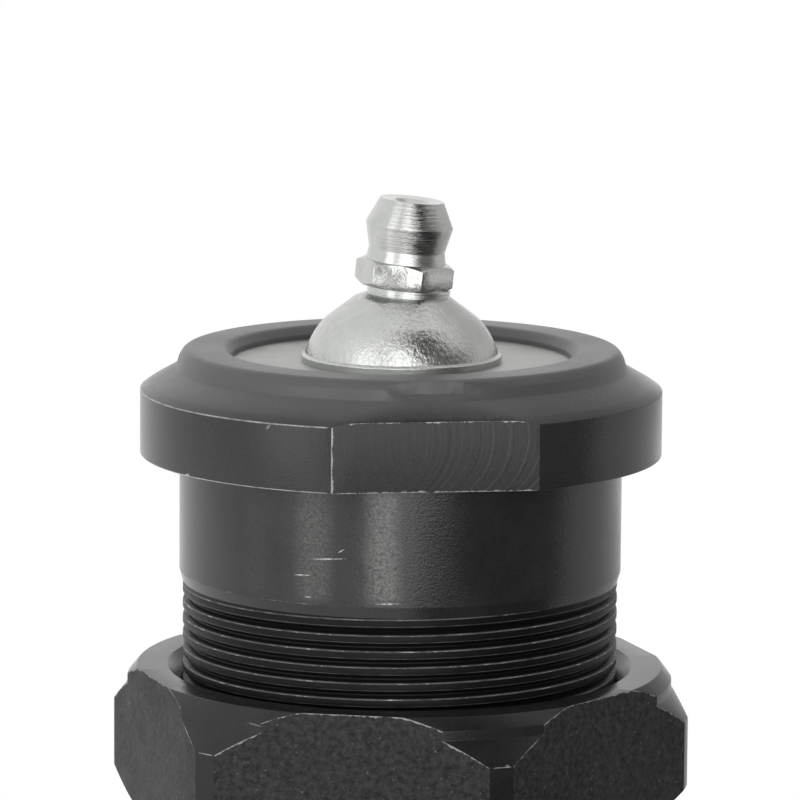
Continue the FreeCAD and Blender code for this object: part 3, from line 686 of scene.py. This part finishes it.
def add_thread(bm, root, crest_radius, foot, top, runout, bevel):
    """Wind a thread up the axis, trim it square, point its foot and fade it out at the top."""
    worn = bm.verts.layers.float.get("worn") or bm.verts.layers.float.new("worn")
    steps = THREAD_STEPS
    turns = math.ceil((top - foot) / PITCH) + 2
    verts = []
    for radius, height, wear in thread_outline(root, crest_radius):
        vert = bm.verts.new((radius, 0, height + foot - PITCH))
        vert[worn] = wear
        verts.append(vert)
    edges = [bm.edges.new(pair) for pair in zip(verts, verts[1:])]
    bmesh.ops.spin(bm, geom=verts + edges, cent=(0, 0, 0), axis=(0, 0, 1), angle=math.tau,
                   steps=steps, dvec=(0, 0, PITCH / steps), use_duplicate=False)
    one_turn = bm.verts[:] + bm.edges[:] + bm.faces[:]
    for number in range(1, turns):
        copy = bmesh.ops.duplicate(bm, geom=one_turn)["geom"]
        bmesh.ops.translate(bm, vec=(0, 0, PITCH * number),
                            verts=[g for g in copy if isinstance(g, bmesh.types.BMVert)])
    bmesh.ops.remove_doubles(bm, verts=bm.verts, dist=1e-4)
    for level, side in ((foot, -1), (top, 1)):
        geometry = bm.verts[:] + bm.edges[:] + bm.faces[:]
        bmesh.ops.bisect_plane(bm, geom=geometry, plane_co=(0, 0, level), plane_no=(0, 0, side),
                               clear_outer=True, dist=1e-5)
    for vert in bm.verts:
        radius = vert.co.xy.length
        fade = 1.0 - hold(0.0, (top - vert.co.z) / runout, 1.0)
        faded = radius + (crest_radius - radius) * fade
        wanted = min(faded, crest_radius - bevel + vert.co.z - foot)
        vert.co.xy *= wanted / radius


def fill_flat_ring(bm, level, outer_radius):
    """Fill the flat ring between two loops of edges that lie at one height."""
    edges = [e for e in bm.edges if e.is_boundary
             and all(abs(v.co.z - level) < 1e-3 and v.co.xy.length < outer_radius for v in e.verts)]
    bmesh.ops.triangle_fill(bm, edges=edges, use_beauty=True)


def cut_flat(bm, apothem, heading, bevel, wear=None):
    """Slice the outside of a solid to a flat, close the cut and break its edges.

    wear gives how far an edge is worn at a place across the flat and up."""
    normal = Vector((math.sin(heading), -math.cos(heading), 0))
    along = Vector((math.cos(heading), math.sin(heading), 0))
    geometry = bm.verts[:] + bm.edges[:] + bm.faces[:]
    cut = bmesh.ops.bisect_plane(bm, geom=geometry, plane_co=normal * apothem, plane_no=normal,
                                 clear_outer=True, dist=1e-5)
    edges = [g for g in cut["geom_cut"] if isinstance(g, bmesh.types.BMEdge)]
    bmesh.ops.contextual_create(bm, geom=edges)
    worn = bm.verts.layers.float["worn"]
    made = bmesh.ops.bevel(bm, geom=edges, offset=bevel, segments=2, profile=0.5, affect="EDGES",
                           material=-1, clamp_overlap=True)
    band = set(made["faces"])
    for vert in made["verts"]:
        inner = all(face in band for face in vert.link_faces)
        vert[worn] = wear(vert.co @ along, vert.co.z) if wear and inner else 0.0


def slot_flats(piece, apothem, headings, number):
    """Give the faces that lie on the flats another of the piece's materials."""
    for heading in headings:
        normal = Vector((math.sin(heading), -math.cos(heading), 0))
        for face in piece.data.polygons:
            level = abs(face.center.dot(normal) - apothem * MM) < 0.02 * MM
            if level and face.normal.dot(normal) > 0.99:
                face.material_index = number


# Housing

def flat_wear(across, _up):
    """The milled flat's left edge is bare, its long edges are nicked, its right edge is not."""
    if across < FLAT_LEFT_EDGE:
        return 1.1
    return 0.85 if across < FLAT_RIGHT_EDGE else 0.5


def ease_flat_top(bm):
    """Dress the cone down to a straight edge above each milled flat."""
    for vert in bm.verts:
        out = abs(vert.co.y)
        if out < FLAT_EASE_FROM or vert.co.z < FLAT_TOP - 0.5:
            continue
        limit = FLAT_TOP + (FLAT_APOTHEM - out) * FLAT_TOP_SLOPE
        over = vert.co.z - limit
        vert.co.z = (vert.co.z + limit - math.sqrt(over * over + FLAT_EASE ** 2)) / 2


def front_left(vert):
    """How far a vertex lies on the left of the front, where the edges are barest."""
    heading = math.degrees(math.atan2(vert.co.x, -vert.co.y))
    return hold(0.0, (5.0 - heading) / 30.0, 1.0) if heading > -120 else 0.4


def housing_piece():
    bm = bmesh.new()
    upper = outline([
        (THREAD_R + THREAD_LAP, THREAD_TOP),
        (SHANK_R, -SHANK_DROP, 0.3, 0.6),
        (SHANK_R, 0.0),
        (FLANGE_R, 0.0, 0.1, 1.0),
        (FLANGE_R, FLANGE_TOP, 0.16, 0.9),
        (CREASE_R, CREASE_TOP, 0.25, 0.3),
    ] + rings_between((CREASE_R, CREASE_TOP), (CONE_TOP_R, CONE_TOP), 7) + [
        (CONE_TOP_R, CONE_TOP, 0.3),
        (SHOULDER_R, SHOULDER_TOP, 0.35, 0.3),
        (CREST_OUT_R, CREST_TOP, 0.7),
        (CREST_IN_R, CREST_TOP, 0.7),
        (LIP_R, COVER_TOP + LIP_EDGE, 0.2),
        (LIP_R, COVER_TOP),
        (COVER_BORE_R, COVER_TOP),
        (COVER_BORE_R, COVER_FOOT),
        (SEAL_R + SEAL_WIRE / 2, COVER_FOOT),
        (SEAL_R + SEAL_WIRE / 2, COVER_FOOT - SEAL_WIRE),
        (SEAL_R - SEAL_WIRE / 2, COVER_FOOT - SEAL_WIRE),
        (SEAL_R - SEAL_WIRE / 2, COVER_FOOT),
        (BORE_R, COVER_FOOT),
        (BORE_R, LEDGE),
        (THROAT_R, LEDGE),
        (MOUTH_R, HOUSING_FOOT),
        (BOOT_LIP_R, HOUSING_FOOT, 0.3),
        (BOOT_LIP_R, BOOT_GROOVE_FOOT),
        (BOOT_GROOVE_R, BOOT_GROOVE_FOOT, 0.2),
        (BOOT_GROOVE_R, BOOT_GROOVE_TOP, 0.2),
        (BOOT_SEAT_R, BOOT_GROOVE_TOP, 0.15),
        (BOOT_SEAT_R, THREAD_END),
    ], closed=False)
    turn(bm, upper, closed=False)
    worn = bm.verts.layers.float["worn"]
    for vert in bm.verts:
        vert[worn] *= 0.35 + 0.65 * front_left(vert)
    ease_flat_top(bm)
    for heading in (0, math.pi):
        cut_flat(bm, FLAT_APOTHEM, heading, 0.12, flat_wear)
    helix = bmesh.new()
    add_thread(helix, THREAD_ROOT_R, THREAD_R, THREAD_END, THREAD_TOP, PITCH, THREAD_BEVEL)
    join(bm, helix)
    fill_flat_ring(bm, THREAD_TOP, FLANGE_R)
    fill_flat_ring(bm, THREAD_END, FLANGE_R)
    piece = finish_piece(bm, "housing_shell", black, "housing_body", "housing")
    piece.data.materials.append(milled)
    piece.data.materials.append(thread_black)
    slot_flats(piece, FLAT_APOTHEM, (0, math.pi), 1)
    for face in piece.data.polygons:
        beside_thread = THREAD_END * MM < face.center.z < THREAD_TOP * MM
        if beside_thread and face.center.xy.length > BOOT_SEAT_R * MM:
            face.material_index = 2


# Cover plate, dome and nipple

def cover_plate_piece():
    bm = bmesh.new()
    turn(bm, outline([
        (PLATE_HOLE_R, COVER_FOOT), (PLATE_R, COVER_FOOT, 0.15),
        (PLATE_R, COVER_TOP, 0.2), (PLATE_HOLE_R, COVER_TOP),
    ]))
    finish_piece(bm, "cover_plate_disc", plate_zinc, "housing_body", "cover_plate")


def dome_piece():
    bm = bmesh.new()
    flank = arc((DOME_FOOT_R, DOME_FOOT), (DOME_WAIST_R, DOME_WAIST), DOME_ROUND)
    turn(bm, outline([
        (0.0, COVER_FOOT - RIVET_DEPTH),
        (RIVET_R, COVER_FOOT - RIVET_DEPTH, 0.25),
        (RIVET_R, COVER_FOOT),
        (SPIGOT_R, COVER_FOOT),
        (SPIGOT_R, COVER_TOP),
        (DOME_BASE_R, COVER_TOP),
        (DOME_RIM_R, DOME_RIM, 0.1),
    ] + flank + [
        (DOME_SHOULDER_R, DOME_SHOULDER, 1.2),
        (DOME_CROWN_R, DOME_TOP, 0.3),
        (0.0, DOME_TOP),
    ], closed=False), closed=False)
    finish_piece(bm, "nipple_dome_shell", dome_zinc, "housing_body", "nipple_dome")


def hexagon_ring(inner, apothem, foot, top, slope, turned, bevel):
    """A hexagon with its corners coned off, on a hollow middle that another piece fills."""
    bm = bmesh.new()
    corner = apothem / math.cos(math.pi / 6)
    drop = (corner - apothem) * slope
    turn(bm, outline([
        (inner, foot), (apothem - 0.05, foot), (corner + 0.05, foot + drop),
        (corner + 0.05, top - drop), (apothem - 0.05, top), (inner, top),
    ]), steps=120)
    for side in range(6):
        cut_flat(bm, apothem, turned + side * math.tau / 6, bevel)
    return bm


def nipple_piece():
    bm = bmesh.new()
    turn(bm, outline([
        (OUTLET_R, NIPPLE_ROOT),
        (NIPPLE_ROOT_R, NIPPLE_ROOT, 0.3),
        (NIPPLE_ROOT_R, COLLAR_TOP),
        (NECK_FOOT_R, HEX_TOP - 0.2),
        (NECK_FOOT_R, HEX_TOP, 0.08),
        (NECK_R, NECK_TOP, 0.15),
        (HEAD_R, HEAD_MIDDLE, 0.12),
        (HEAD_TOP_R, HEAD_TOP, 0.06),
        (INLET_R + INLET_FLARE, HEAD_TOP - INLET_DISH, 0.1),
        (INLET_R, HEAD_TOP - INLET_DEPTH, 0.1),
        (INLET_R, CHAMBER_TOP),
        (CHAMBER_R, CHAMBER_TOP),
        (CHAMBER_R, SPRING_LEDGE),
        (OUTLET_R, SPRING_LEDGE),
    ]), steps=120)
    collar_top = COLLAR_TOP + COLLAR_LAP
    turn(bm, outline([
        (0.0, 0.0), (COLLAR_R, 0.0, 0.08), (COLLAR_R, collar_top, 0.08), (0.0, collar_top),
    ], closed=False), closed=False, steps=96, centre=(COLLAR_ASIDE, 0, 0))
    body_faces = len(bm.faces)
    join(bm, hexagon_ring(NIPPLE_ROOT_R, HEX_APOTHEM, COLLAR_TOP, HEX_TOP, HEX_BEVEL * 2,
                          HEX_TURN, 0.06))
    for face in bm.faces[body_faces:]:
        face.material_index = 1
    bmesh.ops.transform(bm, matrix=NIPPLE_FRAME, verts=bm.verts)
    piece = finish_piece(bm, "grease_nipple_body", nipple_zinc, "housing_body",
                         "grease_nipple")
    piece.data.materials.append(hex_zinc)


SPRING_R = 0.95
SPRING_WIRE = 0.16
SPRING_GAP = 0.02
SPRING_FOOT = SPRING_LEDGE + SPRING_WIRE + SPRING_GAP
SPRING_TURNS = 3
SPRING_STEPS = 32
CHECK_BALL_R = 1.2
CHECK_TRAVEL = 0.8


def check_spring_piece():
    """The check ball's coil spring."""
    seat = CHAMBER_TOP - math.sqrt(CHECK_BALL_R ** 2 - INLET_R ** 2)
    under_ball = seat - math.sqrt(CHECK_BALL_R ** 2 - (SPRING_R - SPRING_WIRE) ** 2)
    top = under_ball - SPRING_WIRE - 0.06
    bm = bmesh.new()
    start = Matrix.Translation((SPRING_R, 0, SPRING_FOOT)) @ Matrix.Rotation(math.pi / 2, 4, "X")
    bmesh.ops.create_circle(bm, segments=12, radius=SPRING_WIRE - 0.01, cap_ends=True, matrix=start)
    steps = SPRING_TURNS * SPRING_STEPS
    bmesh.ops.spin(bm, geom=bm.faces[:], cent=(0, 0, 0), axis=(0, 0, 1),
                   angle=math.tau * SPRING_TURNS, steps=steps,
                   dvec=(0, 0, (top - SPRING_FOOT) / steps), use_duplicate=False)
    bmesh.ops.transform(bm, matrix=NIPPLE_FRAME, verts=bm.verts)
    piece = finish_piece(bm, "check_spring_coil", steel, "housing_body",
                         "nipple_spring", smooth=60)
    foot = NIPPLE_FRAME @ Vector((0, 0, SPRING_LEDGE))
    axis = LEAN @ Vector((0, 0, 1))
    keep = 1.0 - (CHECK_TRAVEL + SPRING_GAP) / (top + SPRING_WIRE - SPRING_LEDGE)
    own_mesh(piece)


# Clamp nut

def nut_wear(across, up):
    """The nut's faces are barest along their top edges."""
    return 0.95 if up > NUT_BARE_FROM and abs(across) < NUT_BARE_HALF else 0.55


def clamp_nut_piece():
    bm = bmesh.new()
    turn(bm, outline([
        (NUT_BORE_R, NUT_FOOT + NUT_MOUTH_R - NUT_BORE_R),
        (NUT_MOUTH_R, NUT_FOOT, 0.1),
        (NUT_LOW_R - 0.6, NUT_FOOT, 0.1),
        (NUT_LOW_R, NUT_LOW_EDGE, 0.2),
        (NUT_CORNER_R, NUT_LOW_BEVEL, 0.2),
        (NUT_CORNER_R, NUT_BEVEL_FOOT, 0.15, 0.95),
        (NUT_STEP_R, NUT_STEP_FOOT, 0.2),
        (NUT_STEP_R, NUT_STEP_TOP, 0.15, 0.5),
        (NUT_FACE_R, NUT_TOP, 0.15, 0.3),
        (NUT_MOUTH_R, NUT_TOP, 0.12, 0.5),
        (NUT_BORE_R, NUT_TOP - NUT_MOUTH_R + NUT_BORE_R),
    ]))
    headings = [NUT_TURN + side * math.tau / 6 for side in range(6)]
    for heading in headings:
        cut_flat(bm, NUT_APOTHEM, heading, 0.08, nut_wear)
    piece = finish_piece(bm, "clamp_nut_body", nut_black, "nut_body", "clamp_nut")
    piece.data.materials.append(forged)
    slot_flats(piece, NUT_APOTHEM, headings, 1)


# Boot

BEAD_R = 13.9
BELLY_R = 14.9
BOOT_WALL = 1.5
BOOT_SPLIT = -35.0
TURN_TOP = -34.2
TURN_R = 5.0
WEB_UNDER = -39.2
BOOT_FOOT = -43.2
BOOT_FOOT_R = 8.5
FOOT_GROOVE_R = 8.0
RING_HEIGHT = -41.6
RING_WIRE = 0.5
FOOT_HOLE_R = 6.02
FIT = 0.02
BOOT_SLICE = 0.6
BOOT_SLICES = 14


def turn_radius_at(height, radius):
    """How far out the rolled wall of the boot is at a height."""
    return BELLY_R - TURN_R + math.sqrt(radius ** 2 - (TURN_TOP - height) ** 2)


def boot_pieces():
    """The boot in two pieces, cut into slices so that each bends between two bodies."""
    inner_r = BELLY_R - BOOT_WALL
    groove_r = BOOT_GROOVE_R + FIT
    split_out = turn_radius_at(BOOT_SPLIT, TURN_R)
    split_in = turn_radius_at(BOOT_SPLIT, TURN_R - BOOT_WALL)
    upper = bmesh.new()
    turn(upper, outline([
        (groove_r, BOOT_GROOVE_TOP - FIT, 0.1),
        (groove_r, BOOT_GROOVE_FOOT + FIT),
        (inner_r, BOOT_GROOVE_FOOT + FIT),
        (inner_r, TURN_TOP),
        (split_in, BOOT_SPLIT),
        (split_out, BOOT_SPLIT),
        (BELLY_R, TURN_TOP, 1.0),
        (BELLY_R, HOUSING_FOOT - 0.6, 1.2),
        (BEAD_R, BOOT_GROOVE_FOOT, 0.4),
        (BEAD_R, BOOT_GROOVE_TOP - FIT, 0.35),
    ]), steps=160)
    lower = bmesh.new()
    roll_in = arc((BELLY_R - TURN_R, WEB_UNDER + BOOT_WALL), (split_in, BOOT_SPLIT),
                  TURN_R - BOOT_WALL, 16)
    roll_out = arc((BELLY_R - TURN_R, WEB_UNDER), (split_out, BOOT_SPLIT), TURN_R, 20)
    turn(lower, outline(roll_out + roll_in[::-1] + [
        (FOOT_HOLE_R, WEB_UNDER + BOOT_WALL, 0.3),
        (FOOT_HOLE_R, BOOT_FOOT, 0.3),
        (BOOT_FOOT_R, BOOT_FOOT, 0.3),
        (BOOT_FOOT_R, RING_HEIGHT - RING_WIRE, 0.15),
        (FOOT_GROOVE_R, RING_HEIGHT - RING_WIRE),
        (FOOT_GROOVE_R, RING_HEIGHT + RING_WIRE),
        (BOOT_FOOT_R, RING_HEIGHT + RING_WIRE, 0.15),
        (BOOT_FOOT_R, WEB_UNDER, 0.6),
    ]), steps=160)
    for bm, name, above, below, start, end in (
            (upper, "boot_belly", "housing_body", "boot_body", BOOT_GROOVE_FOOT, BOOT_SPLIT),
            (lower, "boot_roll", "boot_body", "boot_foot_body", BOOT_SPLIT, WEB_UNDER + BOOT_WALL)):
        for k in range(BOOT_SLICES):
            height = BOOT_GROOVE_FOOT - 1.0 - BOOT_SLICE * k
            geometry = bm.verts[:] + bm.edges[:] + bm.faces[:]
            bmesh.ops.bisect_plane(bm, geom=geometry, plane_co=(0, 0, height), plane_no=(0, 0, 1))
        piece = finish_piece(bm, name, rubber, None, "dust_boot", smooth=50)
        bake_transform(piece, above, below, start=(0, 0, start * MM), end=(0, 0, end * MM))


# Stud

BALL_R = 11.0
BALL_CENTRE = -21.5
BALL_FLAT = 10.3
STUD_NECK_R = 6.0
STUD_SHOULDER = -43.5
TAPER_BIG_R = 7.5
TAPER_TOP = -45.0
TAPER_SMALL_R = 6.375
TAPER_FOOT = -63.0
RELIEF_R = 5.2
STUD_THREAD_R = 5.95
STUD_ROOT_R = 5.2
STUD_THREAD_TOP = -64.5
STUD_THREAD_FOOT = -81.5
STUD_BEVEL = 1.0


def stud_piece():
    bm = bmesh.new()
    neck_rise = math.sqrt(BALL_R ** 2 - STUD_NECK_R ** 2)
    ball = arc((STUD_NECK_R, BALL_CENTRE - neck_rise),
               (math.sqrt(BALL_R ** 2 - BALL_FLAT ** 2), BALL_CENTRE + BALL_FLAT), BALL_R, 48)
    turn(bm, outline([
        (RELIEF_R, STUD_THREAD_TOP),
        (RELIEF_R, TAPER_FOOT),
        (TAPER_SMALL_R, TAPER_FOOT, 0.3),
        (TAPER_BIG_R, TAPER_TOP, 0.3),
        (STUD_NECK_R, STUD_SHOULDER, 0.5),
    ] + ball + [(0.0, BALL_CENTRE + BALL_FLAT)], closed=False), closed=False, steps=128)
    helix = bmesh.new()
    add_thread(helix, STUD_ROOT_R, STUD_THREAD_R, STUD_THREAD_FOOT, STUD_THREAD_TOP, PITCH,
               STUD_BEVEL)
    join(bm, helix)
    fill_flat_ring(bm, STUD_THREAD_TOP, TAPER_BIG_R)
    fill_flat_ring(bm, STUD_THREAD_FOOT, TAPER_BIG_R)
    finish_piece(bm, "stud_shaft", steel, "stud_body", "ball_stud")


# Studio

WORLD_LIGHT = 0.5
CAMERA_AWAY = 0.4143
CAMERA_HEIGHT = 0.0693
CAMERA_DIP = math.radians(8.98)
CAMERA_ROLL = math.radians(0.4)
CAMERA_SHIFT = -0.0015
CAMERA_HEADING = math.radians(-8.0)
PHOTO_FOCUS = 5700
PHOTO_SIZE = 800
SENSOR = 36.0
FLOOR_HALF = 6.0
FLOOR_DROP = 0.0005
FLOOR_CARD_DROP = 0.0003
FLOOR_GLOW = 1.03
FLOOR_SEEN = 0.95

# Name, left and right edge, lower and upper slope, distance and glow of each standing card
CARDS = (
    ("black_card", 28, 94, -40, 36, 0.42, 0.2),
    ("black_card_low", 12, 40, -40, -9, 0.38, 0.06),
    ("black_card_high", 9, 70, 32, 74, 0.4, 0.0),
    ("black_card_top", -10, 60, 52, 78, 0.4, 0.2),
    ("black_slit", -25.5, -20.5, -40, 46, 0.35, 0.0),
    ("grey_card", 97, 165, -30, 58, 0.5, 0.6),
    ("front_strip_low", -19, 9, -32, -8.5, 0.36, 3.6),
    ("front_strip_high", -19, 24, -8.5, 28, 0.36, 2.5),
    ("front_strip_top", -19, 14, 28, 50, 0.36, 2.1),
    ("left_strip", -60, -33, -32, 40, 0.45, 2.0),
)

# Name, left and right edge, nearest and farthest reach and glow of each card on the floor
FLOOR_CARDS = (
    ("black_floor", 8, 92, 0.05, 0.42, 0.0),
    ("grey_floor", 94, 165, 0.05, 0.42, 0.5),
)


def studio():
    """White for what sees the world directly or in a reflection, and dimmer as a light."""
    world = bpy.data.worlds.new("studio")
    bpy.context.scene.world = world
    world.use_nodes = True
    nodes, links = world.node_tree.nodes, world.node_tree.links
    rays = nodes.new("ShaderNodeLightPath")
    last = rays.outputs["Is Camera Ray"]
    for kind in ("Is Glossy Ray", "Is Transmission Ray"):
        seen = nodes.new("ShaderNodeMath")
        seen.operation = "MAXIMUM"
        links.new(last, seen.inputs[0])
        links.new(rays.outputs[kind], seen.inputs[1])
        last = seen.outputs[0]
    level = nodes.new("ShaderNodeMix")
    level.inputs[2].default_value = WORLD_LIGHT
    level.inputs[3].default_value = 1.0
    links.new(last, level.inputs[0])
    links.new(level.outputs[0], nodes["Background"].inputs["Strength"])
    nodes["Background"].inputs["Color"].default_value = (1, 1, 1, 1)


def card(name, left, right, low, high, away, glow):
    """A black card or a soft strip light that stands round the object.

    left and right are degrees round to the right of the camera, and low and high are
    slopes in degrees."""
    middle = math.radians((left + right) / 2)
    heading = Matrix.Rotation(CAMERA_HEADING + middle, 3, "Z")
    reach = away * math.tan(math.radians((right - left) / 2))
    rise = [away * math.tan(math.radians(slope)) for slope in (low, high)]
    bm = bmesh.new()
    bmesh.ops.create_grid(bm, x_segments=1, y_segments=1, size=1.0)
    bmesh.ops.scale(bm, vec=(reach, (rise[1] - rise[0]) / 2, 1.0), verts=bm.verts)
    upright = Matrix.Rotation(math.pi / 2, 3, "X")
    bmesh.ops.rotate(bm, cent=(0, 0, 0), matrix=upright, verts=bm.verts)
    bmesh.ops.translate(bm, vec=(0, -away, sum(rise) / 2), verts=bm.verts)
    bmesh.ops.rotate(bm, cent=(0, 0, 0), matrix=heading, verts=bm.verts)
    stand_card(name, bm, glow)


def stand_card(name, bm, glow):
    """Put a card's mesh in the scene, seen only in reflections."""
    mesh = bpy.data.meshes.new(name)
    bm.to_mesh(mesh)
    bm.free()
    paint = Paint(name)
    paint.set(base_color=(0.0, 0.0, 0.0), roughness=1.0, emission_color=(1.0, 1.0, 1.0),
              emission_strength=glow)
    mesh.materials.append(paint.material)
    board = bpy.data.objects.new(name, mesh)
    board.visible_camera = False
    board.visible_shadow = False
    bpy.context.scene.collection.objects.link(board)
    board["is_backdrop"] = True


def floor_card(name, left, right, near, far, glow):
    """A card that lies on the floor round one side of the object."""
    bm = bmesh.new()
    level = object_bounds()[0][2] - FLOOR_CARD_DROP
    start, sweep = CAMERA_HEADING + math.radians(left), math.radians(right - left)
    ends = [bm.verts.new((reach * math.sin(start), -reach * math.cos(start), level))
            for reach in (near, far)]
    edge = bm.edges.new(ends)
    bmesh.ops.spin(bm, geom=ends + [edge], cent=(0, 0, 0), axis=(0, 0, 1), angle=sweep, steps=16,
                   use_duplicate=False)
    stand_card(name, bm, glow)


def floor():
    """A white floor that the camera sees as plain white and that lights the object softly."""
    paint = Paint("studio_floor")
    paint.set(base_color=(0.85, 0.85, 0.85), roughness=0.9)
    seen = None
    for kind in ("Is Camera Ray", "Is Glossy Ray", "Is Transmission Ray"):
        ray = paint.node("ShaderNodeLightPath", {}, {}, kind)
        seen = seen | ray if seen else ray
    glow = paint.node("ShaderNodeEmission", {}, {"Color": (1, 1, 1), "Strength": FLOOR_GLOW})
    both = paint.node("ShaderNodeMixShader", {}, {
        0: seen * FLOOR_SEEN, 1: Channel(paint, paint.shader.outputs[0]), 2: glow})
    paint.tree.links.new(both.socket, paint.tree.nodes["Material Output"].inputs["Surface"])
    bm = bmesh.new()
    bmesh.ops.create_grid(bm, x_segments=1, y_segments=1, size=FLOOR_HALF)
    bmesh.ops.translate(bm, vec=(0, 0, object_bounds()[0][2] - FLOOR_DROP), verts=bm.verts)
    mesh = bpy.data.meshes.new("floor")
    bm.to_mesh(mesh)
    bm.free()
    ground = bpy.data.objects.new("floor", mesh)
    mesh.materials.append(paint.material)
    bpy.context.scene.collection.objects.link(ground)
    ground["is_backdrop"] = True


def camera():
    lens = bpy.data.cameras.new("camera")
    lens.sensor_width = SENSOR
    lens.lens = PHOTO_FOCUS / PHOTO_SIZE * SENSOR
    lens.clip_start = 0.01
    lens.shift_x = CAMERA_SHIFT
    holder = bpy.data.objects.new("camera", lens)
    holder.location = (math.sin(CAMERA_HEADING) * CAMERA_AWAY,
                       -math.cos(CAMERA_HEADING) * CAMERA_AWAY, CAMERA_HEIGHT)
    turned = (Matrix.Rotation(CAMERA_HEADING, 3, "Z")
              @ Matrix.Rotation(math.pi / 2 - CAMERA_DIP, 3, "X")
              @ Matrix.Rotation(CAMERA_ROLL, 3, "Z"))
    holder.rotation_euler = turned.to_euler()
    bpy.context.scene.collection.objects.link(holder)
    bpy.context.scene.camera = holder


for node, material in (("castle_nut", zinc), ("cotter_pin", zinc), ("preload_spring", steel),
                       ("pressure_plate", steel), ("nipple_spring", steel),
                       ("nipple_check_ball", steel), ("boot_upper_ring", steel),
                       ("boot_lower_ring", steel), ("upper_bearing_seat", plastic),
                       ("lower_bearing_seat", plastic), ("cover_seal_ring", rubber)):
    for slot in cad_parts[node].material_slots:
        slot.material = material

housing_piece()
cover_plate_piece()
dome_piece()
nipple_piece()
check_spring_piece()
clamp_nut_piece()
boot_pieces()
stud_piece()
floor()
studio()
for row in CARDS:
    card(*row)
for row in FLOOR_CARDS:
    floor_card(*row)
camera()
bpy.context.scene.view_settings.view_transform = "Standard"
